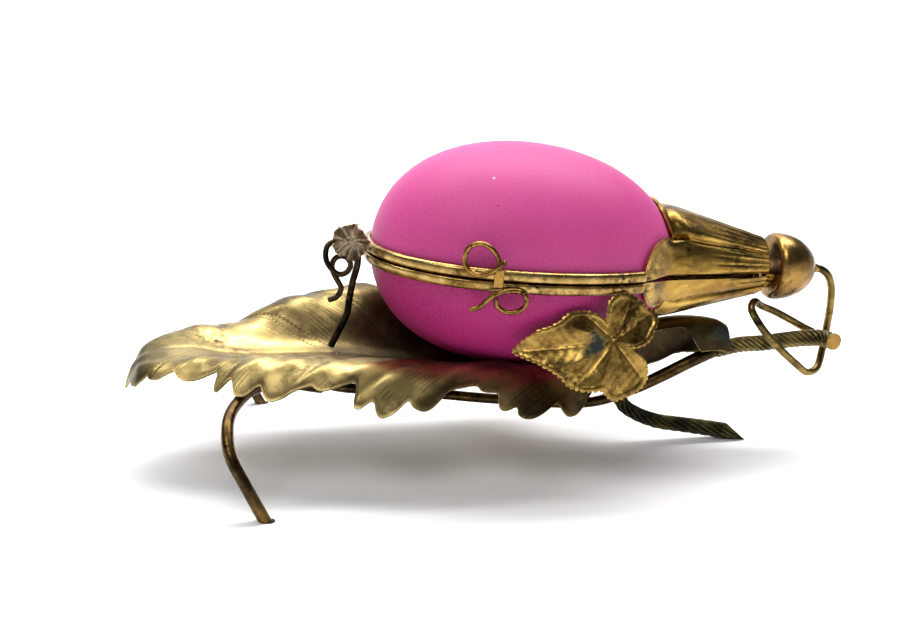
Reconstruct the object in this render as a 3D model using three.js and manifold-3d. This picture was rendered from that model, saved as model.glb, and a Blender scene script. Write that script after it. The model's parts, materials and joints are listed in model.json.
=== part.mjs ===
// A pink opaline glass egg box, lying in the hollow of a gilt brass leaf on three feet.
// Millimetres, +Z up. The leaf points to -X, the stalk to +X and the clasp faces -Y.
import * as THREE from 'three';
import { mergeVertices } from 'three/addons/utils/BufferGeometryUtils.js';
import Module from 'manifold-3d';

const wasm = await Module();
wasm.setup();

// Driving dimensions of the glass egg. Its own axis runs from the blunt end to the stalk end.
const eggLength = 98.9;
const eggRadius = 35.6;
const glassWall = 3;
const eggSink = 3.3;
const eggCentreX = 23.1;
const eggCentreZ = 67.3;

// The box parts in one plane along the egg, and a brass rim holds each glass edge.
const partingHeight = -1.3;
const partingGap = 0.4;
const fitGap = 0.35;
const rimFlange = 0.8;
const rimHeight = 3.3;
const rimDepth = 2.2;
const rimEndGap = 1.1;

// The calyx over the stalk end, and the knob behind it.
const calyxSheet = 0.8;
const calyxClearance = 0.6;
const calyxStart = 31.6;
const calyxEnd = 82.5;
const calyxEndRadius = 9.3;
const calyxTaper = 0.272;
const calyxSinus = 37.5;
const calyxSinusReach = 48;
const calyxBackReach = 42;
const calyxLoose = [46, 54];
const calyxNarrow = [55, 76];
const fluteDepth = 0.5;
const flutes = 18;
const knobRadius = 11.3;
const knobLength = 16.4;
const knobGap = 0.3;
const knobBack = calyxEnd + 3.4;

// Hinge and clasp.
const hingeAt = -3;
const hingeRadius = 1.7;
const pinRadius = 0.65;
const pinClearance = 0.2;
const knuckleLength = 5;
const knuckleGap = 0.3;
const claspAt = -16.2;
const claspWire = 0.75;
const tongueWidth = 2.8;
const tongueThickness = 1;

// The leaf tray and the rods that carry it.
const leafSheet = 0.8;
const leafClearance = 0.9;
// The arch turns down by an angle on either side, and less where its near side is cut back.
const archStart = [44, 68];
const archAngle = 88;
const cutStart = [52, 62];
const cutEnd = [79, 86];
const cutAngle = 46;
const rodRadius = 1.7;
const legRadius = 1.8;
const stalkRadius = 2.5;
const stalkEndRadius = 2.8;
const twigRadius = 2.6;
const postRadius = 1.3;
const tendrilRadius = 1.3;
const supportRadius = 1.1;
const curlRadius = 0.9;

// The applied vine leaf and the blossom.
const vineSheet = 0.8;
const vineTilt = 15;
const vineClearance = 2.4;
const vineCentre = [42.9, -(eggRadius + vineClearance), 48.5];
const studRadius = 1.9;
const vinePinRadius = 1.1;
const blossomRadius = 5.7;
const blossomSheet = 0.8;
const blossomPlace = [-7.95, -7.3, 72.3];

const degree = Math.PI / 180;
const sum = (a, b, share = 1) => a.map((value, i) => value + share * b[i]);

// Smooth value at x from a short list of [x, value] stations.
function stationValue(stations, x) {
  const last = stations.length - 1;
  if (x <= stations[0][0]) return stations[0][1];
  if (x >= stations[last][0]) return stations[last][1];
  const i = stations.findIndex((station) => station[0] > x) - 1;
  const slope = (k) => {
    const a = stations[Math.max(k - 1, 0)];
    const b = stations[Math.min(k + 1, last)];
    return (b[1] - a[1]) / (b[0] - a[0]);
  };
  const width = stations[i + 1][0] - stations[i][0];
  const t = (x - stations[i][0]) / width;
  return (1 + 2 * t) * (1 - t) ** 2 * stations[i][1] + t * (1 - t) ** 2 * width * slope(i)
    + t * t * (3 - 2 * t) * stations[i + 1][1] + t * t * (t - 1) * width * slope(i + 1);
}

function meshOf(positions, triangles) {
  const geometry = new THREE.BufferGeometry();
  geometry.setAttribute('position', new THREE.Float32BufferAttribute(positions, 3));
  geometry.setIndex(triangles);
  return geometry;
}

// Manifold solids, for cuts and joins.
function solidOf(geometry) {
  const bare = geometry.clone();
  bare.deleteAttribute('normal');
  bare.deleteAttribute('uv');
  const merged = mergeVertices(bare, 1e-4);
  const vertProperties = Float32Array.from(merged.attributes.position.array);
  const triVerts = Uint32Array.from(merged.index.array);
  return new wasm.Manifold(new wasm.Mesh({ numProp: 3, vertProperties, triVerts }));
}

function geometryOf(solid) {
  const mesh = solid.getMesh();
  return meshOf(Array.from(mesh.vertProperties), Array.from(mesh.triVerts));
}

function block(from, to) {
  const size = sum(to, from, -1);
  const geometry = new THREE.BoxGeometry(...size);
  geometry.translate(...sum(from, size, 0.5));
  return geometry;
}

// A closed body through a row of rings with equal point counts, capped flat at both ends.
function loft(rings, capOutline) {
  const count = rings[0].length;
  const positions = rings.flat(2);
  const triangles = [];
  for (let i = 0; i + 1 < rings.length; i += 1) {
    for (let j = 0; j < count; j += 1) {
      const a = i * count + j;
      const b = i * count + (j + 1) % count;
      triangles.push(a, b, b + count, a, b + count, a + count);
    }
  }
  const lastRing = (rings.length - 1) * count;
  for (const [a, b, c] of THREE.ShapeUtils.triangulateShape(capOutline, [])) {
    triangles.push(c, b, a, lastRing + a, lastRing + b, lastRing + c);
  }
  return meshOf(positions, triangles);
}

// A body swept along points; outline(share) gives the section at that share of the length.
function sweep(points, steps, outline) {
  const curve = new THREE.CatmullRomCurve3(points.map((p) => new THREE.Vector3(...p)));
  const frames = curve.computeFrenetFrames(steps, false);
  const rings = [];
  for (let i = 0; i <= steps; i += 1) {
    const centre = curve.getPointAt(i / steps);
    rings.push(outline(i / steps, curve.getLength()).map((p) => centre.clone()
      .addScaledVector(frames.normals[i], p.x)
      .addScaledVector(frames.binormals[i], p.y)
      .toArray()));
  }
  return loft(rings, outline(0, curve.getLength()));
}

function roundOutline(sides, radiusAt) {
  return Array.from({ length: sides }, (_, j) => {
    const angle = j / sides * 2 * Math.PI;
    return new THREE.Vector2(Math.cos(angle), Math.sin(angle)).multiplyScalar(radiusAt(angle));
  });
}

const rod = (points, radius, steps, sides = 8) => (
  sweep(points, steps, () => roundOutline(sides, () => radius)));

// A rod cast like twisted rope: its lobed section turns once in each lead.
function rope(points, steps, { startRadius, endRadius, lobes, lead, groove }) {
  const sides = lobes * 3;
  return sweep(points, steps, (share, length) => {
    const turn = share * length / lead * 2 * Math.PI;
    const radius = startRadius + (endRadius - startRadius) * share;
    return roundOutline(sides, (angle) => (
      radius - groove * (0.5 - 0.5 * Math.cos(lobes * (angle - turn)))));
  });
}

// A closed sheet between a face and a second one a thickness below it.
function sheet(rows, columns, closed, face, thickness, place = (u, v) => [u, v], step = 1e-3) {
  const positions = [[], []];
  const triangles = [];
  const wrap = closed ? columns : columns + 1;
  for (let i = 0; i <= rows; i += 1) {
    for (let j = 0; j < wrap; j += 1) {
      const [u, v] = place(i / rows, j / columns);
      const here = new THREE.Vector3(...face(u, v));
      const du = new THREE.Vector3(...face(u + step, v)).sub(new THREE.Vector3(...face(u - step, v)));
      const dv = new THREE.Vector3(...face(u, v + step)).sub(new THREE.Vector3(...face(u, v - step)));
      const normal = du.cross(dv).normalize();
      positions[0].push(...here.toArray());
      positions[1].push(...here.addScaledVector(normal, -thickness).toArray());
    }
  }
  const under = (rows + 1) * wrap;
  const quad = (a, b, c, d) => triangles.push(a, b, c, a, c, d);
  for (let i = 0; i < rows; i += 1) {
    for (let j = 0; j < columns; j += 1) {
      const a = i * wrap + j;
      const b = i * wrap + (j + 1) % wrap;
      quad(a, a + wrap, b + wrap, b);
      quad(under + b, under + b + wrap, under + a + wrap, under + a);
    }
  }
  for (let j = 0; j < columns; j += 1) {
    const a = j;
    const b = (j + 1) % wrap;
    quad(b, under + b, under + a, a);
    quad(rows * wrap + a, under + rows * wrap + a, under + rows * wrap + b, rows * wrap + b);
  }
  for (let i = 0; i < rows && !closed; i += 1) {
    const a = i * wrap;
    const z = a + columns;
    quad(a, under + a, under + a + wrap, a + wrap);
    quad(z + wrap, under + z + wrap, under + z, z);
  }
  return meshOf([...positions[0], ...positions[1]], triangles);
}

// The egg's outline: distance along its axis and radius there.
function eggPoint(turn, shrink = 0) {
  const c = Math.cos(turn);
  const along = -(eggLength / 2 - shrink) * c;
  const radius = (eggRadius - shrink) * Math.sin(turn) * (1 + 0.051 * c + 0.069 * c * c);
  return [along, Math.max(radius, 0)];
}

function eggRadiusAt(along) {
  const share = -along / (eggLength / 2);
  return Math.abs(share) < 1 ? eggPoint(Math.acos(share))[1] : 0;
}

// Distance from the egg's centre to its surface, at a plan angle and a height over its axis.
function eggReach(angle, height) {
  let near = 0;
  let far = eggLength;
  for (let i = 0; i < 40; i += 1) {
    const middle = (near + far) / 2;
    const across = Math.hypot(middle * Math.sin(angle), height);
    if (across < eggRadiusAt(middle * Math.cos(angle))) near = middle;
    else far = middle;
  }
  return near;
}

// A solid of revolution about the egg's axis, from [distance along, radius] points.
function turned(profile, segments) {
  const outline = profile.map(([along, radius]) => new THREE.Vector2(radius, along));
  const geometry = new THREE.LatheGeometry(outline, segments);
  geometry.rotateZ(-Math.PI / 2);
  return geometry;
}

function eggSolid(shrink, rows, segments) {
  const profile = Array.from({ length: rows + 1 }, (_, i) => eggPoint(i / rows * Math.PI, shrink));
  profile[0][1] = 0;
  profile[rows][1] = 0;
  return solidOf(turned(profile, segments));
}

// Everything on one side of a height over the egg's axis; side is 1 for the lid, -1 for the bowl.
function keepSide(solid, side, height) {
  const wide = 200;
  const low = side > 0 ? height : -wide;
  const high = side > 0 ? wide : height;
  return solid.intersect(solidOf(block([-wide, -wide, low], [wide, wide, high])));
}

function glassHalf(side) {
  const edge = partingHeight + side * (partingGap / 2 + rimFlange + fitGap);
  const shell = eggSolid(0, 14, 32).subtract(eggSolid(glassWall, 8, 18));
  return geometryOf(keepSide(shell, side, edge));
}

// Rim section as [outward from the glass, away from the parting plane].
const rimSection = [
  [-glassWall, 0],
  [0.5 * rimDepth, 0],
  [0.85 * rimDepth, 0.14 * rimHeight],
  [rimDepth, 0.42 * rimHeight],
  [0.87 * rimDepth, 0.7 * rimHeight],
  [0.55 * rimDepth, 0.86 * rimHeight],
  [0.45 * rimDepth, rimHeight],
  [0, rimHeight],
  [0, rimFlange],
  [-glassWall, rimFlange],
];

function rim(side) {
  const endAt = calyxStart - rimEndGap;
  const first = Math.atan2(eggRadiusAt(endAt), endAt);
  const steps = 34;
  const rings = [];
  for (let i = 0; i <= steps; i += 1) {
    const angle = first + (2 * Math.PI - 2 * first) * i / steps;
    rings.push(rimSection.map(([out, away]) => {
      const height = partingHeight + side * (partingGap / 2 + away);
      const at = (a) => [eggReach(a, height) * Math.cos(a), eggReach(a, height) * Math.sin(a)];
      const [x, y] = at(angle);
      const [x0, y0] = at(angle - 0.01);
      const [x1, y1] = at(angle + 0.01);
      const scale = (out + fitGap) / Math.hypot(x1 - x0, y1 - y0);
      return [x + (y1 - y0) * scale, y - (x1 - x0) * scale, height];
    }));
  }
  if (side > 0) rings.forEach((ring) => ring.reverse());
  const outline = rimSection.map(([out, away]) => new THREE.Vector2(-side * out, away));
  if (side > 0) outline.reverse();
  return loft(rings, outline);
}

// Four sepals, the side ones split by the parting plane, run down into one fluted cone.
function calyxEdge(turn) {
  const fromSide = Math.asin(Math.abs(Math.sin(turn))) / degree;
  if (fromSide < calyxSinus) {
    return calyxStart + (calyxSinusReach - calyxStart) * (fromSide / calyxSinus) ** 2.2;
  }
  const share = (90 - fromSide) / (90 - calyxSinus);
  return calyxBackReach + (calyxSinusReach - calyxBackReach) * share ** 3;
}

function calyxRadius(along, turn) {
  const fromSide = Math.asin(Math.abs(Math.sin(turn))) / degree;
  const cone = calyxEndRadius + (calyxEnd - Math.min(along, calyxEnd)) * calyxTaper;
  const loose = THREE.MathUtils.smoothstep(along, ...calyxLoose);
  const narrow = THREE.MathUtils.smoothstep(along, ...calyxNarrow);
  const valley = Math.exp(-(((fromSide - calyxSinus) / 9) ** 2));
  const flute = fluteDepth * (0.5 + 0.5 * Math.cos(flutes * turn));
  const hug = eggRadiusAt(along) + calyxClearance + calyxSheet;
  return Math.max(hug, cone) - loose * (1 - 0.7 * narrow) * 1.3 * valley - narrow * flute;
}

function calyxHalf(side, end) {
  const face = (u, v) => {
    const turn = -v * 2 * Math.PI;
    const along = calyxEdge(turn) + (end - calyxEdge(turn)) * Math.abs(u) ** 1.5;
    const radius = calyxRadius(along, turn);
    return [along, radius * Math.cos(turn), radius * Math.sin(turn)];
  };
  const shell = solidOf(sheet(8, 36, true, face, calyxSheet));
  return geometryOf(keepSide(shell, side, partingHeight + side * partingGap / 2));
}

function knob() {
  const rimAt = knobBack + 2.6;
  const profile = [
    [knobBack, 0], [knobBack, 0.84 * knobRadius], [knobBack + 1.1, 0.96 * knobRadius],
  ];
  const steps = 6;
  for (let i = 0; i <= steps; i += 1) {
    const turn = i / steps * Math.PI / 2;
    const along = rimAt + (knobBack + knobLength - rimAt) * Math.sin(turn);
    profile.push([along, i === steps ? 0 : knobRadius * Math.cos(turn)]);
  }
  return turned(profile, 18);
}

// Hinge: the lid's knuckle stands between the two of the bowl, all on one pin.
const hingeBack = eggRadiusAt(hingeAt) + fitGap + rimDepth + fitGap;
const hingeY = hingeBack + hingeRadius;

function knuckle(slot, side) {
  const pitch = knuckleLength + knuckleGap;
  const middle = hingeAt + slot * pitch;
  const barrel = new THREE.CylinderGeometry(hingeRadius, hingeRadius, knuckleLength, 12);
  const bore = new THREE.CylinderGeometry(
    pinRadius + pinClearance, pinRadius + pinClearance, knuckleLength + 1, 8);
  for (const shape of [barrel, bore]) {
    shape.rotateZ(Math.PI / 2);
    shape.translate(middle, hingeY, partingHeight);
  }
  const near = partingHeight + side * partingGap / 2;
  const tall = partingHeight + side * rimHeight;
  const strap = block(
    [middle - knuckleLength / 2, hingeBack, Math.min(near, tall)],
    [middle + knuckleLength / 2, hingeBack + 1, Math.max(near, tall)]);
  return geometryOf(solidOf(barrel).add(solidOf(strap)).subtract(solidOf(bore)));
}

function hingePin() {
  const length = 3 * knuckleLength + 2 * knuckleGap + 1;
  const pin = new THREE.CylinderGeometry(pinRadius, pinRadius, length, 8);
  pin.rotateZ(Math.PI / 2);
  pin.translate(hingeAt, hingeY, partingHeight);
  return pin;
}

// Clasp: bent wire loops that follow the rims just clear of them, from the tongue's middle line.
const claspFront = (along) => -(eggRadiusAt(along) + fitGap + rimDepth + fitGap + claspWire);
const claspPoint = ([right, height, back = 0]) => (
  [claspAt + right, claspFront(claspAt + right) + back, height]);

function upperClasp() {
  const loop = rod([
    [1, 5.4, -1.9], [-0.9, 3.6, -1.9], [-3.1, 1.7, -1.6], [-6.3, 0.6, -0.8], [-9.2, 2.2, -0.3],
    [-9.9, 5, 0], [-8.8, 8, 0], [-6.2, 9.5, 0], [-2.7, 7.6, 0], [-0.4, 4.6, 0], [0.1, 2, 0],
  ].map(claspPoint), claspWire, 20, 6);
  const front = claspFront(claspAt + tongueWidth / 2);
  const tongue = block(
    [claspAt - tongueWidth / 2, front - tongueThickness / 2, partingHeight - 1.5],
    [claspAt + tongueWidth / 2, front + tongueThickness / 2, partingHeight + rimHeight + 0.6]);
  return geometryOf(solidOf(loop).add(solidOf(tongue)));
}

function lowerClasp() {
  return rod([
    [-7.2, -10.1, -0.4], [-4.9, -9.1, -0.4], [-1.1, -5.1, -0.4], [3.2, -3.4, -0.3], [7.4, -3.8, 0],
    [8.9, -6.6, 0.2], [7.3, -9.2, 0.6], [4.1, -10.2, 1.1], [0.9, -8.8, 1.6], [0.1, -6.6, 1.8],
  ].map(claspPoint), claspWire, 20, 6);
}

// The leaf tray. Stations give its height on the midrib and on both ridges, and its half width.
const midrib = [
  [-103.4, 25.5], [-101, 32], [-96, 36.2], [-83, 37.6], [-69, 35.4], [-39, 35], [-15, 32.6],
  [8, 30.6], [26, 29.9], [40, 30.8], [50, 34.6], [60, 41], [66, 43.4], [72, 44.7], [79, 45.3],
  [86.4, 44.9], [92.5, 43.7], [96, 41.8],
];
const farRidge = [
  [-103.4, 25.2], [-98, 36], [-83, 40], [-67, 41], [-52, 47.5], [-36, 49.5], [-25, 51], [-8, 47.5],
  [12, 42], [32, 39.5], [50, 36],
];
const nearRidge = [
  [-103.4, 25.2], [-98, 34], [-83, 37.5], [-60, 39.5], [-40, 39.5], [-20, 38.5], [12, 37], [35, 35],
  [50, 35],
];
const halfWidths = [
  [-103.4, 1.2], [-99, 9], [-90, 17], [-76, 25], [-60, 34], [-42, 39], [-18, 42], [12, 42],
  [30, 37], [42, 27], [54, 15], [66, 8], [96, 5.6],
];
// How far the leaf hangs over the stalk on the near and far side, where it is rolled to an arch.
const nearDrop = [[44, 12], [66, 11], [84, 11.5], [96, 9]];
const farDrop = [[44, 12], [60, 20], [74, 19.5], [82, 16], [90, 14.5], [96, 9]];
// The leaf's toothed outline on either side, from its tip: [x, distance from the midrib]. Its
// teeth lean towards the tip, so x steps back at each of them.
const margin = [
  [-103.4, 1.2], [-101.3, 4.9], [-100.3, 11.1], [-98.1, 13], [-94.7, 12.9], [-95.3, 14.3],
  [-93, 16.1], [-90.3, 16.4], [-86.9, 16.4], [-86.6, 18.5], [-84.2, 19.9], [-79.8, 21],
  [-76.9, 20.9], [-73.6, 20.5], [-75.5, 24.5], [-74.9, 25.8], [-72.9, 25.5], [-69.9, 24.3],
  [-69.7, 28.1], [-68.6, 29], [-66.1, 29.8], [-61.4, 28.4], [-61.2, 30.5], [-59.3, 32.2],
  [-57.6, 32.6], [-52, 32], [-46.9, 31.4], [-46.3, 31.6], [-44.8, 33], [-41.4, 33.2],
  [-36.9, 32.3], [-32.6, 31.1], [-35, 36.1], [-34, 36.9], [-32.5, 37], [-28.5, 35.3],
  [-28.3, 37.7], [-27.1, 39], [-25.3, 39], [-22, 38.3], [-18.2, 35.9], [-17.7, 37.3],
  [-16, 38.2], [-13.3, 38.3], [-9.6, 36.8], [-5.8, 33.7], [-2.4, 33.4], [3.3, 32.3],
  [4, 33.8], [6.8, 33.9], [9.9, 33.5], [8.9, 36.2], [9.5, 37.9], [11.7, 38.1],
  [15.3, 36.7], [14.7, 38.4], [17.5, 38.9], [20.8, 38.2], [24.6, 36.3], [28.4, 33.4],
  [29.8, 35], [32, 35.5], [36, 33], [41.5, 26.5], [47, 20], [53, 15], [59, 11], [66, 8],
  [80, 6.9], [89, 6.1], [96, 5.6],
];
const ridgeShare = 0.6;
const curlDrop = 15;
const curlWidth = 16;
const marginRake = 0.5;
const rakeFade = [30, 64];

// Height of the hollow that the egg would press into the leaf at this place.
function eggHollow(x, y) {
  const along = (x - eggCentreX) / Math.cos(eggSink * degree);
  const radius = eggRadiusAt(along) + leafClearance;
  if (radius <= Math.abs(y)) return Infinity;
  return eggCentreZ - along * Math.sin(eggSink * degree) - Math.sqrt(radius * radius - y * y);
}

// The leaf's upper face over a place on its flat pattern.
function leafFace(x, y) {
  const stalkward = THREE.MathUtils.smoothstep(x, ...archStart);
  const half = stationValue(halfWidths, x);
  const ridgeAt = ridgeShare * half;
  const low = stationValue(midrib, x);
  const high = stationValue(y > 0 ? farRidge : nearRidge, x);
  const rise = THREE.MathUtils.smootherstep(Math.abs(y), 0, ridgeAt);
  const past = Math.max(Math.abs(y) - ridgeAt, 0) / curlWidth;
  const dish = Math.min(low + (high - low) * rise - curlDrop * past ** 1.7, eggHollow(x, y));
  // The arch over the stalk is cut back on the near side, short of its end.
  const nearCut = THREE.MathUtils.smoothstep(x, ...cutStart) - THREE.MathUtils.smoothstep(x, ...cutEnd);
  const reach = y < 0 ? archAngle - cutAngle * nearCut : archAngle;
  const drop = stationValue(y > 0 ? farDrop : nearDrop, x);
  const turn = THREE.MathUtils.clamp(y / half, -1, 1) * reach * degree;
  const arch = [half * Math.sin(turn), low - drop * (1 - Math.cos(turn))];
  return [x, y + (arch[0] - y) * stalkward, dish + (arch[1] - dish) * stalkward];
}

// Where a point of the sheet lies on the flat pattern. Rows run from the margin to the midrib,
// leaning back as the teeth do, so no two rows cross.
function leafPlace(u, v) {
  const row = u * (margin.length - 1);
  const i = Math.min(Math.floor(row), margin.length - 2);
  const [x, half] = margin[i].map((value, k) => value + (margin[i + 1][k] - value) * (row - i));
  const rake = marginRake * (1 - THREE.MathUtils.smoothstep(x, ...rakeFade));
  const across = 2 * v - 1;
  return [x + rake * half * (1 - Math.abs(across)), half * across];
}

const leafTray = () => sheet(margin.length - 1, 8, false, leafFace, leafSheet, leafPlace, 0.01);

// Rods under the tray, and the rope-cast stalk and twig foot.
const spinePath = [
  [-38, 0, 23.2], [-33, 0, 22.3], [-10, 0, 20.2], [18, 0, 16.9], [49.6, 0, 14.9], [63.6, 0, 18.9],
  [75.7, 0, 24.3], [84.4, 0, 28.6], [92.6, 0, 32.3],
];
const stalkPath = [
  [93.2, 0, 32.6], [102, 0, 34.4], [110, -0.3, 34.9], [117.2, -1.2, 36], [124.3, -3, 37.2],
  [128.7, -5.6, 38], [131.4, -9, 38],
];
const twigPath = [
  [60.7, 0, 14.6], [62, 0, 13.1], [64.7, 0, 11.2], [68.6, 0, 9.2], [74.7, 0, 7.1], [80.9, 0, 6],
  [87.1, 0, 5], [93.4, 0, 3.9], [99, 0, 2.8], [107, 0, 1.4],
];
const twigTip = [106.5, 0, 0];
const twigCut = 41;
const legPath = [
  [-42, -2.8, 23.6], [-55, -10, 28], [-64, -20, 29.5], [-70.3, -33, 26.9], [-71.2, -40, 23],
  [-70.3, -44.5, 18.3], [-66.1, -48, 10.4], [-61.2, -49, 0.6], [-59.6, -49.2, -2.4],
];

// Cuts a foot flat where it stands on the ground.
function standing(geometry) {
  const ground = solidOf(block([-200, -200, -20], [200, 200, 0]));
  return geometryOf(solidOf(geometry).subtract(ground));
}

function leg(side) {
  return standing(rod(legPath.map(([x, y, z]) => [x, side * y, z]), legRadius, 13, 8));
}

const stalk = () => rope(stalkPath, 18, {
  startRadius: stalkRadius, endRadius: stalkEndRadius, lobes: 5, lead: 13, groove: 0.5,
});

// The third foot's end slants down to a point on the ground.
function twigFoot() {
  const whole = rope(twigPath, 18, {
    startRadius: 0.85 * twigRadius, endRadius: twigRadius, lobes: 5, lead: 32, groove: 0.5,
  });
  const waste = block([0, -10, -20], [20, 10, 20]);
  waste.rotateY(-(90 - twigCut) * degree);
  waste.translate(...twigTip);
  return standing(geometryOf(solidOf(whole).subtract(solidOf(waste))));
}

// Short posts hold the leaf off the rods: one over the legs' joint, one inside the arch.
const leafPost = () => rod([[-37, 0, 25.2], [-37, 0, 33.7]], postRadius, 1, 8);
const archPost = () => rod([[88.5, 0, 33.3], [88.5, 0, 42.9]], postRadius, 1, 8);

const knobTendril = () => rod([
  [126.3, 0, 61.2], [128.3, 0, 61], [131.1, 0, 59.2], [133.7, 1, 55], [135.1, 2.2, 47.5],
  [135, 2.5, 39.8], [133.5, 1, 31.4], [130.6, -2, 26], [125.8, -4.5, 25.3], [120.5, -6, 28.9],
  [111.7, -7.2, 36.3], [105.5, -6.6, 43], [102.6, -4.4, 48.6], [104.2, -2.6, 50.4], [108.5, 0, 48.1],
  [115.8, 2.2, 44.9], [126, 2.2, 39.6],
], tendrilRadius, 28, 6);

// The dark wires and the blossom stand at the egg's blunt end, and are placed from it.
const bluntEnd = eggCentreX - eggLength / 2;
const fromBluntEnd = ([x, y, z]) => [bluntEnd + x, y, z];

const supportWire = () => rod([
  [-12.35, 0, 36.9], [-7.35, -0.5, 47.9], [-6.75, -1, 52.3], [-5.85, -2, 58.2], [-4.35, -3, 65],
  [-4.65, -3.4, 68.5], [-6.85, -3.4, 71.6],
].map(fromBluntEnd), supportRadius, 12);

const curlTendril = () => rod([
  [-10.65, -3.8, 72.6], [-13.95, -5.6, 71], [-14.35, -7.2, 67.3], [-12.75, -7.9, 64.5], [-9.95, -7.9, 62.6],
  [-6.95, -7.4, 65.4], [-9.75, -6.4, 68], [-12.15, -5.4, 66.4], [-12.55, -5.4, 63.1],
  [-10.85, -5.8, 60], [-9.75, -6.2, 57.5], [-11.15, -6.5, 54.9], [-13.65, -6.8, 54],
].map(fromBluntEnd), curlRadius, 26, 6);

// The vine leaf's outline round its stud, clockwise as seen: [direction in degrees, reach].
const vineEdge = [
  [-175, 29.8], [-182, 26.2], [-188, 22.9], [-192, 19.8], [-199, 17.3], [-210, 15.9], [-221, 13.5],
  [-231, 11.1], [-241, 8.6], [-249, 5.9], [-258, 8], [-265, 11.8], [-278, 14.2], [-290, 14.9],
  [-302, 14.9], [-318, 14.5], [-330, 16], [-338, 15.2], [-348, 12.7], [-362, 10.5], [-377, 6.6],
  [-382, 5.6], [-387, 7.4], [-392, 11], [-400, 14], [-409, 15.9], [-419, 16.6], [-431, 16.8],
  [-448, 17.8], [-458, 16.5], [-466, 15], [-476, 16.3], [-486, 17.8], [-495, 18.8], [-506, 19.1],
  [-516, 20.5], [-525, 23.6], [-530, 26.7], [-533, 28.9],
];
const vineVeins = [-175, -224, -295, -325, -412, -448, -490];
const vineCup = 1.1;
const vineCurl = 0.006;

// Height of the stamped leaf above its plane: pillowed between its veins, and pushed out below.
function vineRelief(right, up, direction, reach) {
  const nearest = Math.min(...vineVeins.map((vein) => {
    const away = (direction - vein) * degree;
    return Math.cos(away) > 0 ? Math.abs(Math.sin(away)) : 1;
  }));
  const pillow = vineCup * Math.min(nearest * reach / 5, 1);
  const push = 2 * Math.exp(-((right + 7) ** 2 + (up + 13) ** 2) / 70);
  return pillow + push - vineCurl * reach * reach;
}

function vineFace(u, v) {
  const row = THREE.MathUtils.euclideanModulo(v, 1) * vineEdge.length;
  const i = Math.min(Math.floor(row), vineEdge.length - 1);
  const next = i + 1 < vineEdge.length ? vineEdge[i + 1] : [vineEdge[0][0] - 360, vineEdge[0][1]];
  const [direction, edge] = vineEdge[i].map((value, k) => value + (next[k] - value) * (row - i));
  const reach = edge * (0.06 + 0.94 * u);
  const right = reach * Math.cos(direction * degree);
  const up = reach * Math.sin(direction * degree);
  const relief = vineRelief(right, up, direction, reach);
  const lean = vineTilt * degree;
  return sum(vineCentre, [
    right,
    up * Math.sin(lean) - relief * Math.cos(lean),
    up * Math.cos(lean) + relief * Math.sin(lean),
  ]);
}

// A disc of sheet brass: the ring of a polar sheet with its small middle hole filled by a stud.
function vineLeaf() {
  const lean = vineTilt * degree;
  const stud = new THREE.SphereGeometry(studRadius, 8, 5);
  stud.scale(1, 0.45, 1);
  stud.rotateX(-lean);
  stud.translate(...sum(vineCentre, [0, 0.3, 0]));
  const blade = sheet(3, vineEdge.length, true, vineFace, vineSheet);
  return geometryOf(solidOf(blade).add(solidOf(stud)));
}

// The short wire from the tray's edge to the vine leaf, placed from the leaf's stud at its top.
const pinFoot = [39.5, -23.5, 33.2];
const vineLeafPin = () => rod([
  pinFoot, sum(pinFoot, [1.1, -4.5, 2]),
  ...[[-0.9, 5.4, -8.7], [-0.1, 2.8, -3.5], [0, 1.9, -0.6]].map((point) => sum(vineCentre, point)),
], vinePinRadius, 8);

// The blossom: five crumpled petals round a small heart, turned a little to the left.
const blossomCentre = fromBluntEnd(blossomPlace);

function blossomFace(u, v) {
  const turn = -v * 2 * Math.PI;
  const petal = 0.84 + 0.16 * Math.cos(5 * turn);
  const reach = blossomRadius * petal * (0.16 + 0.84 * u);
  const ruffle = u * u * (0.9 * Math.cos(10 * turn) - 1.1);
  const side = reach * Math.cos(turn);
  const yaw = 22 * degree;
  return sum(blossomCentre, [
    side * Math.cos(yaw) + ruffle * Math.sin(yaw),
    -side * Math.sin(yaw) + ruffle * Math.cos(yaw),
    reach * Math.sin(turn),
  ]);
}

function blossom() {
  const heart = new THREE.SphereGeometry(1.5, 7, 4);
  heart.scale(1, 0.6, 1);
  heart.translate(...sum(blossomCentre, [0, 0.3, 0]));
  return geometryOf(solidOf(sheet(2, 20, true, blossomFace, blossomSheet)).add(solidOf(heart)));
}

function addPiece(parent, name, geometry, color, roughness, metalness) {
  const material = new THREE.MeshStandardMaterial({ color, roughness, metalness, side: THREE.FrontSide });
  const mesh = new THREE.Mesh(geometry, material);
  mesh.name = name;
  parent.add(mesh);
}

const stand = new THREE.Group();
const egg = new THREE.Group();
egg.position.set(eggCentreX, 0, eggCentreZ);
egg.rotation.y = eggSink * degree;
stand.add(egg);

addPiece(egg, 'glass_lid', glassHalf(1), 0xd85f9c, 0.35, 0);
addPiece(egg, 'glass_bowl', glassHalf(-1), 0xc24a88, 0.35, 0);
addPiece(egg, 'lid_rim', rim(1), 0x8a6c34, 0.4, 1);
addPiece(egg, 'bowl_rim', rim(-1), 0x94763a, 0.4, 1);
addPiece(egg, 'lid_calyx', calyxHalf(1, calyxEnd), 0xa88440, 0.38, 1);
addPiece(egg, 'bowl_calyx', calyxHalf(-1, knobBack - knobGap), 0xa07c3c, 0.38, 1);
addPiece(egg, 'knob', knob(), 0xb08a48, 0.3, 1);
addPiece(egg, 'bowl_knuckle_left', knuckle(-1, -1), 0x7c602e, 0.4, 1);
addPiece(egg, 'lid_knuckle', knuckle(0, 1), 0x7c602e, 0.4, 1);
addPiece(egg, 'bowl_knuckle_right', knuckle(1, -1), 0x7c602e, 0.4, 1);
addPiece(egg, 'hinge_pin', hingePin(), 0x6c5428, 0.4, 1);
addPiece(egg, 'upper_clasp', upperClasp(), 0xb08a48, 0.35, 1);
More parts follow.
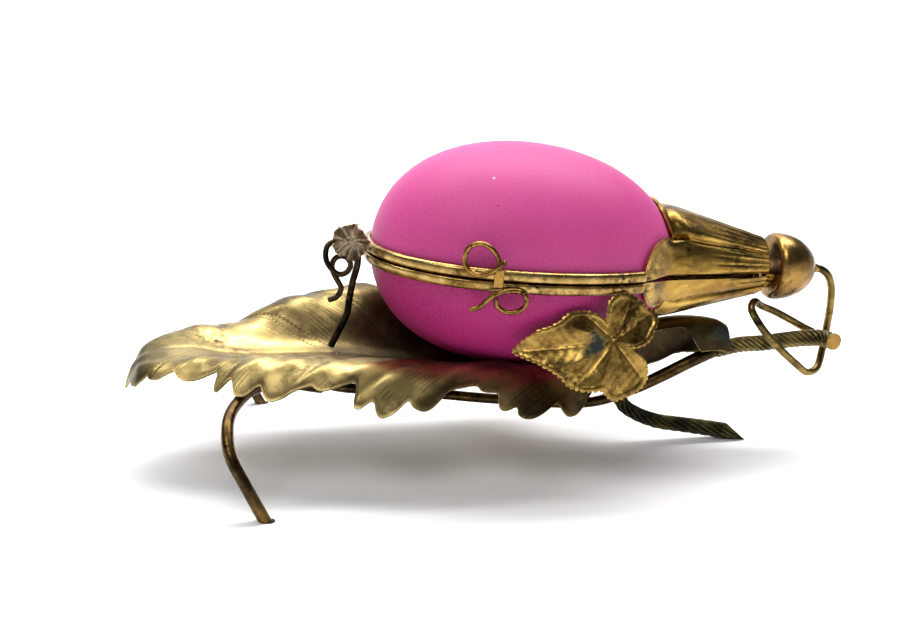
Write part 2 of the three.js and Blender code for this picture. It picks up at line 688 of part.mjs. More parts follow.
addPiece(egg, 'lower_clasp', lowerClasp(), 0xb08a48, 0.35, 1);
addPiece(stand, 'leaf_tray', leafTray(), 0xc8ab6c, 0.4, 1);
addPiece(stand, 'leaf_post', leafPost(), 0x574727, 0.45, 1);
addPiece(stand, 'arch_post', archPost(), 0x574727, 0.45, 1);
addPiece(stand, 'spine_rod', rod(spinePath, rodRadius, 16), 0x574727, 0.45, 1);
addPiece(stand, 'stalk', stalk(), 0x6a5830, 0.45, 1);
addPiece(stand, 'twig_foot', twigFoot(), 0x4a4230, 0.5, 1);
addPiece(stand, 'front_leg', leg(1), 0x574727, 0.42, 1);
addPiece(stand, 'back_leg', leg(-1), 0x574727, 0.42, 1);
addPiece(stand, 'knob_tendril', knobTendril(), 0x6e5a30, 0.42, 1);
addPiece(stand, 'support_wire', supportWire(), 0x2e2a24, 0.5, 1);
addPiece(stand, 'curl_tendril', curlTendril(), 0x2e2a24, 0.5, 1);
addPiece(stand, 'blossom', blossom(), 0x8d7c64, 0.5, 1);
addPiece(stand, 'vine_leaf', vineLeaf(), 0xb8923f, 0.35, 1);
addPiece(stand, 'vine_leaf_pin', vineLeafPin(), 0x6e5a30, 0.42, 1);

// The origin is the middle of the ground under the whole object.
const bounds = new THREE.Box3().setFromObject(stand, true);
const middle = bounds.getCenter(new THREE.Vector3());
stand.position.set(-middle.x, -middle.y, -bounds.min.z);
const part = new THREE.Group();
part.add(stand);
export default part;
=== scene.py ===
# %% [markdown]
# # An opaline glass egg box on a brass leaf
# The box is a pink glass egg, cut in two and mounted in moulded brass rims, with a brass
# calyx and knob at its narrow end. It lies in the hollow of a long engraved leaf, and the
# leaf stands on two bowed legs and a twig cast like rope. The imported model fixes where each
# piece is. Every metal sheet, wire and glass half is made again here, finer and in the same
# place, and then gets its finish.

# %% Load the frame
import json
from math import atan2, cos, pi, radians, sin, tan
import bmesh
import bpy
import numpy as np
from mathutils import Matrix, Vector


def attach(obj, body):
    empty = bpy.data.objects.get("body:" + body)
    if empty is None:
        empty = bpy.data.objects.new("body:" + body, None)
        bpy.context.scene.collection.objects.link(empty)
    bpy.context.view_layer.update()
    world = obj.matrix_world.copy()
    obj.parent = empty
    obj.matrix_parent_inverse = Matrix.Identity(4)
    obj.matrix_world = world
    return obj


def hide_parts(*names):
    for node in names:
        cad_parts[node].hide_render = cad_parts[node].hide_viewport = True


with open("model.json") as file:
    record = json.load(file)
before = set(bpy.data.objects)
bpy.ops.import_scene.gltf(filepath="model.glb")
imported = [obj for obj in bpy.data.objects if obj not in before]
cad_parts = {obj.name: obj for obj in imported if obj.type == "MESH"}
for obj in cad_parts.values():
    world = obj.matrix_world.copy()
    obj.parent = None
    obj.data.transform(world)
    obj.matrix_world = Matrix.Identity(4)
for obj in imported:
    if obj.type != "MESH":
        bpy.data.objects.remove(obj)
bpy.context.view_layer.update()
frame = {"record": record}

# %% [markdown]
# ## Driving sizes
# Sizes are in millimetres. The egg has an axis of its own, which sinks a little towards the
# stalk, so points on the egg are worked out along that axis first and then turned into place.
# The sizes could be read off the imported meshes, but named values keep every fit in one place.
# Only the hinge's place is read from the frame, to line the scene up with it.

# %% Sizes of the egg and its mounts
EGG_LENGTH = 98.9
EGG_RADIUS = 35.6
GLASS_WALL = 3.0
EGG_SINK = radians(3.3)
EGG_CENTRE = np.array([23.1, 0.0, 67.3])
PARTING_HEIGHT = -1.3
PARTING_GAP = 0.4
FIT_GAP = 0.35
RIM_FLANGE = 0.8
RIM_HEIGHT = 3.3
RIM_DEPTH = 2.2
RIM_END_GAP = 1.1
CALYX_SHEET = 0.8
CALYX_CLEARANCE = 0.6
CALYX_START = 31.6
CALYX_END = 82.5
HINGE_AT = -3.0

hinge = frame["record"]["behaviour"]["joints"][0]
hinge_x = EGG_CENTRE[0] + HINGE_AT * cos(EGG_SINK) + PARTING_HEIGHT * sin(EGG_SINK)
SHIFT_X = hinge["pos_m"][0] * 1000 - hinge_x
print("the frame's origin is", round(-SHIFT_X, 2), "mm along the leaf's own x")

# %% [markdown]
# ## Turning numbers into meshes
# Three makers cover nearly everything: a tube along a smooth path, a solid turned about the
# egg's axis, and a thin sheet between two grids of points. Curve objects and modifiers could
# do some of this, but plain points allow a rope's lobes or a leaf's teeth in the same step.
# All makers work in millimetres, and one function turns points into a piece on its body.

# %% Smooth paths
def smooth_path(points, count=400):
    """Points at even spacing on the smooth curve through the given ones."""
    p = np.array(points, float)
    p = np.vstack([2 * p[0] - p[1], p, 2 * p[-1] - p[-2]])
    dense = []
    for a, b, c, d in zip(p, p[1:], p[2:], p[3:]):
        ab, bc, cd = (max(np.linalg.norm(v) ** 0.5, 1e-4) for v in (b - a, c - b, d - c))
        start = ((b - a) / ab - (c - a) / (ab + bc) + (c - b) / bc) * bc
        end = ((c - b) / bc - (d - b) / (bc + cd) + (d - c) / cd) * bc
        t = np.linspace(0, 1, 40, endpoint=False)[:, None]
        dense.append((2 * t**3 - 3 * t**2 + 1) * b + (t**3 - 2 * t**2 + t) * start
                     + (3 * t**2 - 2 * t**3) * c + (t**3 - t**2) * end)
    dense = np.vstack(dense + [p[-2:-1]])
    travel = np.concatenate([[0], np.cumsum(np.linalg.norm(np.diff(dense, axis=0), axis=1))])
    even = np.linspace(0, travel[-1], count)
    return np.stack([np.interp(even, travel, dense[:, k]) for k in range(3)], axis=1)


def path_length(points):
    return np.linalg.norm(np.diff(smooth_path(points), axis=0), axis=1).sum()


def stations(table, x):
    """Smooth values at x between a few [x, value] stations."""
    at, value = np.array(table, float).T
    slope = np.empty(len(at))
    slope[1:-1] = (value[2:] - value[:-2]) / (at[2:] - at[:-2])
    slope[0] = (value[1] - value[0]) / (at[1] - at[0])
    slope[-1] = (value[-1] - value[-2]) / (at[-1] - at[-2])
    x = np.clip(x, at[0], at[-1])
    i = np.clip(np.searchsorted(at, x, side="right") - 1, 0, len(at) - 2)
    width = at[i + 1] - at[i]
    t = (x - at[i]) / width
    return ((1 + 2 * t) * (1 - t)**2 * value[i] + t * (1 - t)**2 * width * slope[i]
            + t * t * (3 - 2 * t) * value[i + 1] + t * t * (t - 1) * width * slope[i + 1])


def smoothstep(x, low, high):
    t = np.clip((np.asarray(x, float) - low) / (high - low), 0, 1)
    return t * t * (3 - 2 * t)


# %% Closed bodies from grids of points
def loft(rings):
    """A closed body through rings of points, with a flat cap at each end."""
    rings = np.asarray(rings)
    rows, count = rings.shape[:2]
    last = (rows - 1) * count
    faces = [(i + j, i + (j + 1) % count, i + count + (j + 1) % count, i + count + j)
             for i in range(0, last, count) for j in range(count)]
    faces += [tuple(range(count))[::-1], tuple(range(last, last + count))]
    return rings.reshape(-1, 3), faces


def shell(outer, inner, wrap=False):
    """A closed body between two grids of points; wrap joins the last column to the first."""
    rows, columns = outer.shape[:2]
    under = rows * columns
    last = under - columns
    spans = columns if wrap else columns - 1
    faces = []
    for i in range(0, last, columns):
        for j in range(spans):
            a, b = i + j, i + (j + 1) % columns
            faces.append((a, a + columns, b + columns, b))
            faces.append((under + b, under + b + columns, under + a + columns, under + a))
    for j in range(spans):
        a, b = j, (j + 1) % columns
        faces.append((b, under + b, under + a, a))
        faces.append((last + a, under + last + a, under + last + b, last + b))
    if not wrap:
        for a in range(0, last, columns):
            z = a + columns - 1
            faces.append((a, under + a, under + a + columns, a + columns))
            faces.append((z + columns, under + z + columns, under + z, z))
    return np.vstack([outer.reshape(-1, 3), inner.reshape(-1, 3)]), faces


def shares(rows, columns):
    """Shares of the way down and across a grid."""
    return (np.linspace(0, 1, rows + 1)[:, None] * np.ones((1, columns + 1)),
            np.linspace(0, 1, columns + 1)[None, :] * np.ones((rows + 1, 1)))


def sheet(face, rows, columns, thickness, wrap=False, place=None, step=1e-3):
    """A sheet under a surface; face(u, v) takes arrays of shares and gives points."""
    u, v = shares(rows, columns)
    if wrap:
        u, v = u[:, :-1], v[:, :-1]
    if place:
        u, v = place(u, v)
    du = face(u + step, v) - face(u - step, v)
    dv = face(u, v + step) - face(u, v - step)
    normal = np.cross(du, dv)
    normal /= np.maximum(np.linalg.norm(normal, axis=-1, keepdims=True), 1e-9)
    outer = face(u, v)
    return shell(outer, outer - normal * thickness, wrap)


def tube(points, radius, sides=20, spacing=0.7, outline=None, round_ends=True):
    """A rod along a smooth path; outline(angles, travelled) may shape its section."""
    length = path_length(points)
    path = smooth_path(points, max(int(length / spacing), 12))
    tangent = np.gradient(path, axis=0)
    tangent /= np.linalg.norm(tangent, axis=1, keepdims=True)
    normal = np.cross(tangent[0], [0.31, 0.87, 0.38])
    normal /= np.linalg.norm(normal)
    angles = np.linspace(0, 2 * pi, sides, endpoint=False)
    travel = np.linspace(0, length, len(path))
    rings = []
    for centre, along, at in zip(path, tangent, travel):
        normal = normal - along * np.dot(normal, along)
        normal /= np.linalg.norm(normal)
        side = np.cross(along, normal)
        reach = np.full(sides, float(radius)) if outline is None else outline(angles, at)
        rings.append(centre + reach[:, None] * (
            np.cos(angles)[:, None] * normal + np.sin(angles)[:, None] * side))
    if round_ends:
        for end, sign in ((0, -1), (-1, 1)):
            cap = [path[end] + (rings[end] - path[end]) * share
                   + sign * tangent[end] * radius * 0.35 * (1 - share**2) ** 0.5
                   for share in (0.93, 0.75, 0.45)]
            rings = cap[::-1] + rings if sign < 0 else rings + cap
    return loft(rings)


def join(*bodies):
    points, faces, count = [], [], 0
    for body_points, body_faces in bodies:
        points.append(body_points)
        faces += [tuple(i + count for i in face) for face in body_faces]
        count += len(body_points)
    return np.vstack(points), faces


# %% Turning about the egg's axis, and placing pieces
def turned(profile, sides=96, closed=False):
    """A solid turned about the egg's axis from [distance along, radius] points."""
    profile = np.array(profile, float)
    angles = np.linspace(0, 2 * pi, sides, endpoint=False)
    points = np.stack([
        np.repeat(profile[:, 0], sides),
        (profile[:, 1][:, None] * np.cos(angles)).ravel(),
        (profile[:, 1][:, None] * np.sin(angles)).ravel()], axis=1)
    spans = len(profile) if closed else len(profile) - 1
    faces = []
    for i in range(spans):
        a, b = i * sides, (i + 1) % len(profile) * sides
        faces += [(a + j, b + j, b + (j + 1) % sides, a + (j + 1) % sides) for j in range(sides)]
    return points, faces


def on_egg(body):
    """Turns a body from the egg's own axes into the stand's."""
    points, faces = body
    x, y, z = points.T
    return np.stack([EGG_CENTRE[0] + x * cos(EGG_SINK) + z * sin(EGG_SINK), y,
                     EGG_CENTRE[2] - x * sin(EGG_SINK) + z * cos(EGG_SINK)], axis=1), faces


def piece(name, body, rides_on, material, nodes, crease=38, fields=None):
    """Makes the object in metres, gives it its finish, and hides the nodes it replaces."""
    points, faces = body
    data = bpy.data.meshes.new(name)
    data.from_pydata(((points + [SHIFT_X, 0, 0]) / 1000).tolist(), [], faces)
    for field, values in (fields or {}).items():
        attribute = data.attributes.new(field, "FLOAT", "POINT")
        attribute.data.foreach_set("value", np.asarray(values, np.float32))
    work = bmesh.new()
    work.from_mesh(data)
    bmesh.ops.remove_doubles(work, verts=work.verts, dist=1e-7)
    bmesh.ops.recalc_face_normals(work, faces=work.faces)
    work.to_mesh(data)
    work.free()
    data.shade_smooth()
    data.set_sharp_from_angle(angle=radians(crease))
    made = bpy.data.objects.new(name, data)
    bpy.context.scene.collection.objects.link(made)
    data.materials.append(material)
    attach(made, rides_on)
    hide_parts(*nodes)
    print(name, len(data.vertices), "points")
    return made


# %% [markdown]
# ## Colours and nodes
# Colours are picked as sRGB hex values and turned to linear light once. One small function
# adds a shader node with its settings and its links, and every finish is built from it.
# Sockets go by number where names repeat: a colour Mix has its factor at 0 and its colours
# at 6 and 7. A Map Range lists the value, then both "from" limits and both "to" limits.

# %% Node helper
def colour(code):
    parts = [int(code[i:i + 2], 16) / 255 for i in (1, 3, 5)]
    return (*[c / 12.92 if c <= 0.04045 else ((c + 0.055) / 1.055) ** 2.4 for c in parts], 1.0)


def add(tree, kind, inputs=(), **settings):
    """Adds a node, with its inputs by name or number, or listed from the first socket on.

    A node given as an input is linked from its first output in use.
    """
    made = tree.nodes.new("ShaderNode" + kind)
    for name, value in settings.items():
        setattr(made, name, value)
    for socket, value in inputs.items() if isinstance(inputs, dict) else enumerate(inputs):
        if isinstance(value, bpy.types.Node):
            value = next(out for out in value.outputs if out.enabled)
        if isinstance(value, bpy.types.NodeSocket):
            tree.links.new(value, made.inputs[socket])
        else:
            made.inputs[socket].default_value = value
    return made


def start_material(name):
    material = bpy.data.materials.new(name)
    material.use_nodes = True
    tree = material.node_tree
    tree.nodes.clear()
    return material, tree, add(tree, "TexCoord").outputs["Object"]


def finish_material(material, tree, **inputs):
    shader = add(tree, "BsdfPrincipled",
                 {name.replace("_", " "): value for name, value in inputs.items()})
    add(tree, "OutputMaterial", {"Surface": shader})
    return material


# %% [markdown]
# ## Opaline glass
# Opaline is a lead glass made milky with bone ash or tin, here stained pink with gold and
# bitten with acid to a satin skin. Light enters it and comes out again a few millimetres
# away, so it glows and has no hard shine. A milky volume could do this too, but slowly and
# with noise, so a Principled shader does it with some subsurface scattering and a rough
# surface. The grit of the bite is finer than a pixel, so it is drawn at 0.7 mm. Clouds about
# 38 mm across come from the mixing of the melt.

# %% Glass finish
# A pale bubble and a dark fleck, as [colour, place on the lid, radius] in metres.
GLASS_SPECKS = [
    ("#FFE9F6", (-0.00868, -0.02159, 0.09489), 0.0005),
    ("#5A1038", (-0.00861, -0.02835, 0.0877), 0.0004)]
GLASS_CLOUD_MM = 38
GLASS_GRIT_MM = 0.7


def satin_opaline(name, light, deep):
    """Satin opaline: soft, even and deep in colour, with a faint sheen and no hard light."""
    material, tree, place = start_material(name)
    cloud = add(tree, "TexNoise", {"Vector": place, "Scale": 1000 / GLASS_CLOUD_MM, "Detail": 3})
    cloud = add(tree, "MapRange", [cloud, 0.35, 0.7])
    skin = add(tree, "Mix", {0: cloud, 6: colour(light), 7: colour(deep)}, data_type="RGBA")
    grit = add(tree, "TexNoise", {"Vector": place, "Scale": 1000 / GLASS_GRIT_MM, "Detail": 2})
    speckle = add(tree, "MapRange", [grit, 0.30, 0.62, 0.0, 0.08])
    skin = add(tree, "Mix", {0: speckle, 6: skin, 7: colour("#E894C4")}, data_type="RGBA")
    for hue, (x, y, z), size in GLASS_SPECKS:
        away = add(tree, "VectorMath", [place, (x, y, z)], operation="DISTANCE")
        speck = add(tree, "MapRange", [away.outputs["Value"], size, size * 0.4, 0.0, 0.8])
        skin = add(tree, "Mix", {0: speck, 6: skin, 7: colour(hue)}, data_type="RGBA")
    bump = add(tree, "Bump", {"Height": grit, "Strength": 0.12, "Distance": 0.00012})
    return finish_material(
        material, tree, Base_Color=skin, Roughness=0.5, IOR=1.52, Specular_IOR_Level=0.22,
        Subsurface_Weight=0.25, Subsurface_Radius=(1.0, 0.25, 0.55), Subsurface_Scale=0.003,
        Normal=bump)


lid_opaline = satin_opaline("satin_pink_opaline", "#C54488", "#BA3C7E")
# The bowl takes the same glass darker and more saturated, as painted shade on the lower half of the
# egg.
bowl_opaline_painted_shade = satin_opaline("pink_opaline_darkened_as_painted_shade", "#A61166", "#98105A")
print("glass with clouds of", GLASS_CLOUD_MM, "mm and grit of", GLASS_GRIT_MM, "mm")

# %% [markdown]
# ## Gilt and patinated brass
# All the metal is thin or wire brass. The sheets were fire gilt, and the gilding has worn and
# browned, so bright gold lies beside brown and grey. The wires and rods carry a nearly black
# patina with gold on the ridges, and green copper salts sit where solder met the brass. The rod
# and the rope foot under the leaf are darkened further as painted shade.
# Painted masks could put each stain in its place, but one finish with different colours does
# for all of it: two noises of different size mix the colours, pointiness finds the rubbed
# edges, and noise drawn out along the stand makes scratches. Real scratches are finer than a
# pixel, so they are drawn 0.9 mm long and a sixth as wide.

# %% Brass finish
SCRATCH_MM = 0.9


def spots(tree, place, centres):
    """A mask that is 1 inside ragged spots given as [x, y, z, radius] in millimetres."""
    mask = None
    for x, y, z, radius in centres:
        centre = ((x + SHIFT_X) / 1000, y / 1000, z / 1000)
        away = add(tree, "VectorMath", [place, centre], operation="DISTANCE")
        ragged = add(tree, "TexNoise", {"Vector": place, "Scale": 1000 / radius, "Detail": 6})
        edge = add(tree, "Math", [ragged, radius * 3e-3, away.outputs["Value"]],
                   operation="MULTIPLY_ADD")
        here = add(tree, "MapRange", [edge, radius * 2e-3, radius * 2.6e-3, 1.0, 0.0])
        mask = here if mask is None else add(tree, "Math", [mask, here], operation="MAXIMUM")
    return mask


def aged_brass(name, bright, dull, dark, tarnish, cloud_mm, rough, green=(), painted_shade_spots=(),
               grain=(1, 1, 1), shade=None, cuts=None):
    """Brass with clouds of wear, flecks of tarnish, rubbed ridges and dirty hollows."""
    material, tree, place = start_material(name)
    drawn = add(tree, "Mapping", {"Vector": place, "Scale": grain})
    broad = add(tree, "TexNoise", {
        "Vector": drawn, "Scale": 1000 / cloud_mm, "Detail": 6, "Roughness": 0.62})
    fine = add(tree, "TexNoise", {
        "Vector": drawn, "Scale": 5000 / cloud_mm, "Detail": 5, "Roughness": 0.65})
    patch = add(tree, "TexNoise", {"Vector": place, "Scale": 600 / cloud_mm, "Detail": 3})
    worn = add(tree, "MapRange", [broad, 0.38, 0.62])
    # Tarnish sits in flecks inside broad patches, and each coat covers the ones before it.
    flecks = add(tree, "MapRange", [fine, 0.60 - 0.3 * tarnish, 0.82 - 0.3 * tarnish])
    patch = add(tree, "MapRange", [patch, 0.56 - 0.2 * tarnish, 0.68 - 0.1 * tarnish])
    stain = add(tree, "Math", [flecks, patch], operation="MULTIPLY")
    coats = [(worn, dull), (stain, dark)]
    # Painted shade: ragged spots darken the colour where shade falls on the piece.
    if painted_shade_spots:
        painted_shade = add(tree, "Math", [spots(tree, place, painted_shade_spots), 0.85], operation="MULTIPLY")
        coats.append((painted_shade, dark))
    if shade:
        coats.append((shade(tree), dark))
    # Ridges are rubbed bright and hollows keep their dirt.
    point = add(tree, "NewGeometry").outputs["Pointiness"]
    rubbed = add(tree, "MapRange", [point, 0.53, 0.60, 0.0, 0.7])
    dirt = add(tree, "MapRange", [point, 0.40, 0.475, 0.8, 0.0])
    coats += [(rubbed, bright), (dirt, dark)]
    sheen = add(tree, "MapRange", [fine, 0.3, 0.75, rough[0], rough[1]])
    metal = 1.0
    if green:
        salts = spots(tree, place, green)
        coats.append((salts, "#1F2A22"))
        sheen = add(tree, "Math", [salts, 0.4, sheen], operation="MULTIPLY_ADD")
        metal = add(tree, "MapRange", [salts, 0.0, 1.0, 1.0, 0.2])
    scratched = add(tree, "Mapping", {"Vector": place, "Scale": (1, 6, 6)})
    scratch = add(tree, "TexNoise", {"Vector": scratched, "Scale": 1000 / SCRATCH_MM, "Detail": 3})
    height = add(tree, "Math", [scratch, 0.35, fine], operation="MULTIPLY_ADD")
    if cuts:
        cut = cuts(tree)
        coats.append((cut, "#3A2A18"))
        height = add(tree, "Math", [cut, -1.2, height], operation="MULTIPLY_ADD")
    skin = colour(bright)
    for mask, hue in coats:
        skin = add(tree, "Mix", {0: mask, 6: skin, 7: colour(hue)}, data_type="RGBA")
    bump = add(tree, "Bump", {"Height": height, "Strength": 0.22, "Distance": 0.00025})
    return finish_material(material, tree, Base_Color=skin, Metallic=metal, Roughness=sheen,
                           Normal=bump)


# %% The metal finishes
# Each has a bright, a dull and a dark colour, a share of tarnish, the size of its clouds in
# millimetres, and its least and greatest roughness.
# Rolled gilt strip, browned by handling: long clean glints with brown breaks.
rim_gilt = aged_brass("browned_gilt_rims", "#CBAB69", "#8C6C38", "#33251A", 0.6, 9, (0.18, 0.32))
# Gilt sheet, worn along its length: warm gold streaked with brown.
calyx_gilt = aged_brass("worn_gilt_calyx", "#CFA855", "#8F6C2E", "#3A2B1A", 0.75, 13,
                        (0.2, 0.34), grain=(0.35, 1, 1))
# Gilding rubbed through on the knob: coppery, with a small bright glint.
knob_gilt = aged_brass("rubbed_gilt_knob", "#AC874A", "#6C5029", "#35251A", 0.55, 9, (0.2, 0.32))
# Gilt wire: bright on the bend and dark at its roots.
clasp_gilt = aged_brass("gilt_clasp_wire", "#B88F48", "#755428", "#2A1D12", 0.7, 4, (0.18, 0.3))
# Bare drawn rod: brown all over, with gold only where it was touched.
rod_patina = aged_brass("brown_patina_rods", "#735A31", "#3D2F1D", "#18120C", 0.7, 10,
                        (0.22, 0.4))
# Cast rope: dull green-brown, which shows the strands by their dark grooves.
rope_patina = aged_brass("green_brown_rope_cast", "#8B7A48", "#4C4A30", "#1A1D17", 0.8, 8,
                         (0.3, 0.5))
# The same casting under the leaf, darkened nearly black as painted shade, and matt.
foot_cast_painted_shade = aged_brass("rope_cast_darkened_as_painted_shade", "#56502F", "#26271C", "#10120E", 0.8, 8,
                         (0.3, 0.5))
# A sawn end without patina: one flat bright disc.
cut_gilt = aged_brass("bright_sawn_brass", "#A98446", "#765829", "#3A2A18", 0.5, 2, (0.25, 0.4))
# Thick wire with some gilding left: drab gold.
tendril_gilt = aged_brass("drab_gilt_tendril", "#A08549", "#57492A", "#211B12", 0.7, 12,
                          (0.2, 0.34))
# The rod in the leaf's shade, darkened as painted shade, with thin brown glints.
spine_rod_painted_shade = aged_brass("spine_rod_darkened_as_painted_shade", "#6E5630", "#33291B", "#14100C", 0.8, 9,
                          (0.25, 0.4))
# Wire gone nearly black: a dark line against the glass.
black_wire = aged_brass("black_patina_wire", "#4E3E28", "#201C18", "#0F0E0D", 0.8, 7, (0.3, 0.5))
# Crumpled sheet that has lost its gilding: grey-brown and matt.
blossom_brass = aged_brass("grey_brown_blossom", "#A8957A", "#857560", "#463C30", 0.6, 4,
                           (0.35, 0.55))
print("metal finishes so far:", sum("opaline" not in m.name for m in bpy.data.materials))

# %% [markdown]
# ## The egg
# The egg is a solid of revolution whose narrow end is towards the stalk. Each half is drawn
# from the parting plane round, so its edge lies exactly in that plane, and its inner wall
# is the same shape made smaller by the wall. Cutting one egg with a boolean would leave
# ragged triangles along the edge.

# %% Glass halves
def egg_point(turn, shrink=0.0):
    c = np.cos(turn)
    along = -(EGG_LENGTH / 2 - shrink) * c
    radius = (EGG_RADIUS - shrink) * np.sin(turn) * (1 + 0.051 * c + 0.069 * c * c)
    return along, radius


def egg_radius(along):
    share = np.clip(-np.asarray(along, float) / (EGG_LENGTH / 2), -1, 1)
    return egg_point(np.arccos(share))[1]


def half_surface(side, height, shrink, rows=110, columns=150):
    """One half of the egg's surface, from the edge plane on one side to it on the other."""
    turns = np.linspace(0.001, pi - 0.001, 4000)
    clear = turns[egg_point(turns, shrink)[1] >= abs(height)]
    turn = np.linspace(clear[0], clear[-1], rows + 1)[:, None] * np.ones((1, columns + 1))
    along, radius = egg_point(turn, shrink)
    lift = np.arcsin(np.clip(side * height / radius, -1, 1))
    around = lift + (pi - 2 * lift) * np.linspace(0, 1, columns + 1)[None, :]
    return np.stack([along, -radius * np.cos(around), side * radius * np.sin(around)], axis=-1)


def glass_half(side):
    edge = PARTING_HEIGHT + side * (PARTING_GAP / 2 + RIM_FLANGE + FIT_GAP)
    outer, inner = (half_surface(side, edge, shrink) for shrink in (0.0, GLASS_WALL))
    return on_egg(shell(outer, inner))


piece("satin_glass_lid", glass_half(1), "lid", lid_opaline, ["glass_lid"], 60)
piece("satin_glass_bowl", glass_half(-1), "stand", bowl_opaline_painted_shade,
      ["glass_bowl"], 60)

# %% [markdown]
# ## The rims
# Each glass edge sits in a strip of rolled brass whose rounded face catches the light as one
# long line. The strip's section is swept round the egg's own outline, so it keeps its width
# where the egg narrows, and it stops just short of the calyx.

# %% Rims
# The section as [shares of the depth outwards, shares of the height from the parting].
RIM_MOULDING = [
    (-GLASS_WALL, 0), (0.36, 0), (0.68, 0.02), (0.86, 0.07), (0.96, 0.16), (1.0, 0.3), (1.0, 0.46),
    (0.98, 0.62), (0.92, 0.77), (0.8, 0.89), (0.62, 0.97), (0.36, 1), (0, 1)]


def egg_reach(angle, height):
    near, far = np.zeros_like(angle), np.full_like(angle, EGG_LENGTH)
    for _ in range(40):
        middle = (near + far) / 2
        inside = np.hypot(middle * np.sin(angle), height) < egg_radius(middle * np.cos(angle))
        near, far = np.where(inside, middle, near), np.where(inside, far, middle)
    return near


def rim(side, steps=260):
    end_at = CALYX_START - RIM_END_GAP
    first = atan2(float(egg_radius(end_at)), end_at)
    angle = np.linspace(first, 2 * pi - first, steps)
    section = [(out if out < 0 else out * RIM_DEPTH, away * RIM_HEIGHT)
               for out, away in RIM_MOULDING]
    section += [(0, RIM_FLANGE), (-GLASS_WALL, RIM_FLANGE)]
    rings = []
    for out, away in section:
        height = PARTING_HEIGHT + side * (PARTING_GAP / 2 + away)
        x, y = (egg_reach(angle, height) * part for part in (np.cos(angle), np.sin(angle)))
        dx, dy = np.gradient(x, angle), np.gradient(y, angle)
        scale = (out + FIT_GAP) / np.hypot(dx, dy)
        rings.append(np.stack([x + dy * scale, y - dx * scale, np.full_like(x, height)], axis=-1))
    return on_egg(loft(np.stack(rings, axis=1)))


piece("lid_rim_moulding", rim(1), "lid", rim_gilt, ["lid_rim"], 50)
piece("bowl_rim_moulding", rim(-1), "stand", rim_gilt, ["bowl_rim"], 50)

# %% [markdown]
# ## The calyx and the knob
# The calyx is one cone of sheet brass with four rounded sepals that hug the egg, and fine
# flutes raised with a punch towards its narrow end. It was sawn in two at the parting plane,
# so half of it opens with the lid. Its radius is a formula of the place along and round the
# cone, which keeps both halves in line at the cut. The knob is a half-ball with a rolled back
# edge, knocked about by use.

# %% Calyx halves
CALYX_END_RADIUS = 9.3
CALYX_TAPER = 0.272
NOTCH_ANGLE = 37.5
NOTCH_AT = 46.5
TOP_SEPAL_AT = 42
LEAVES_GLASS, NECK, CUT_OPENS = (46, 54), (55, 76), (30, 44)
VALLEY_ANGLE, VALLEY_DEPTH = 4.5, 2
BELLY_ANGLE, BELLY_DEPTH = 52, 0.35
FLUTES, FLUTE_DEPTH = 36, 0.42
COLLAR_NARROWING = 0.22


def calyx_edge(from_side):
    """Where the sheet starts, for degrees from the parting plane."""
    side_lobe = CALYX_START + (NOTCH_AT - CALYX_START) * (from_side / NOTCH_ANGLE) ** 2.2
    top_share = np.abs((90 - from_side) / (90 - NOTCH_ANGLE))
    top_lobe = TOP_SEPAL_AT + (NOTCH_AT - TOP_SEPAL_AT) * top_share ** 3
    return np.where(from_side < NOTCH_ANGLE, side_lobe, top_lobe)


def calyx_radius(along, around):
    """Snug on the glass, then a cone with valleys between the sepals, bellies and flutes."""
    from_side = np.degrees(np.arcsin(np.abs(np.sin(around))))
    cone = CALYX_END_RADIUS + (CALYX_END - np.minimum(along, CALYX_END)) * CALYX_TAPER
    hug = egg_radius(along) + CALYX_CLEARANCE + CALYX_SHEET
    loose = smoothstep(along, *LEAVES_GLASS)
    narrow = smoothstep(along, *NECK)
    valley = np.exp(-((from_side - NOTCH_ANGLE) / VALLEY_ANGLE) ** 2)
    swell = np.cos(pi * np.clip((from_side - NOTCH_ANGLE) / BELLY_ANGLE, -1, 1))
    flute = (0.5 + 0.5 * np.cos(FLUTES * around)) ** 3
    eased = (hug + cone + np.hypot(hug - cone, 1.8)) / 2
    return (eased - loose * (1 - 0.5 * narrow) * VALLEY_DEPTH * valley
            - BELLY_DEPTH * swell * loose - FLUTE_DEPTH * narrow * flute)


def calyx_half(side, end):
    """The sheet on one side of the cut, whose gap opens a little towards the knob."""
    height = PARTING_HEIGHT + side * PARTING_GAP / 2

    def face(u, v):
        around = pi * v
        for _ in range(4):
            from_side = np.degrees(np.arcsin(np.abs(np.sin(around))))
            start = calyx_edge(from_side)
            along = start + (end - start) * np.abs(u) ** 1.3
            radius = calyx_radius(along, side * around)
            opening = height + side * 0.8 * smoothstep(along, *CUT_OPENS)
            lift = np.arcsin(np.clip(side * opening / radius, -1, 1))
            around = lift + (pi - 2 * lift) * v
        collar = 1 - COLLAR_NARROWING * smoothstep(along, CALYX_END - 0.3, CALYX_END + 0.9)
        off_glass = np.maximum(radius - egg_radius(along) - CALYX_CLEARANCE - CALYX_SHEET, 0)
        hugging = 0.75 * off_glass * np.exp(-((along - start) / 3) ** 2)
        lip = 0.35 * np.exp(-((along - start) / 0.7) ** 2)
        radius = radius * collar + lip - hugging
        return np.stack([along, radius * np.cos(around), side * radius * np.sin(around)], axis=-1)

    return on_egg(sheet(face, 120, 260, -side * CALYX_SHEET))


KNOB_BACK = CALYX_END + 3.4
piece("lid_calyx_sepals", calyx_half(1, CALYX_END), "lid", calyx_gilt,
      ["lid_calyx"], 60)
piece("bowl_calyx_sepals", calyx_half(-1, KNOB_BACK - 0.3), "stand", calyx_gilt,
      ["bowl_calyx"], 60)

# %% Knob
KNOB_RADIUS = 11.3
KNOB_LENGTH = 16.4
KNOB_TIP = KNOB_BACK + KNOB_LENGTH


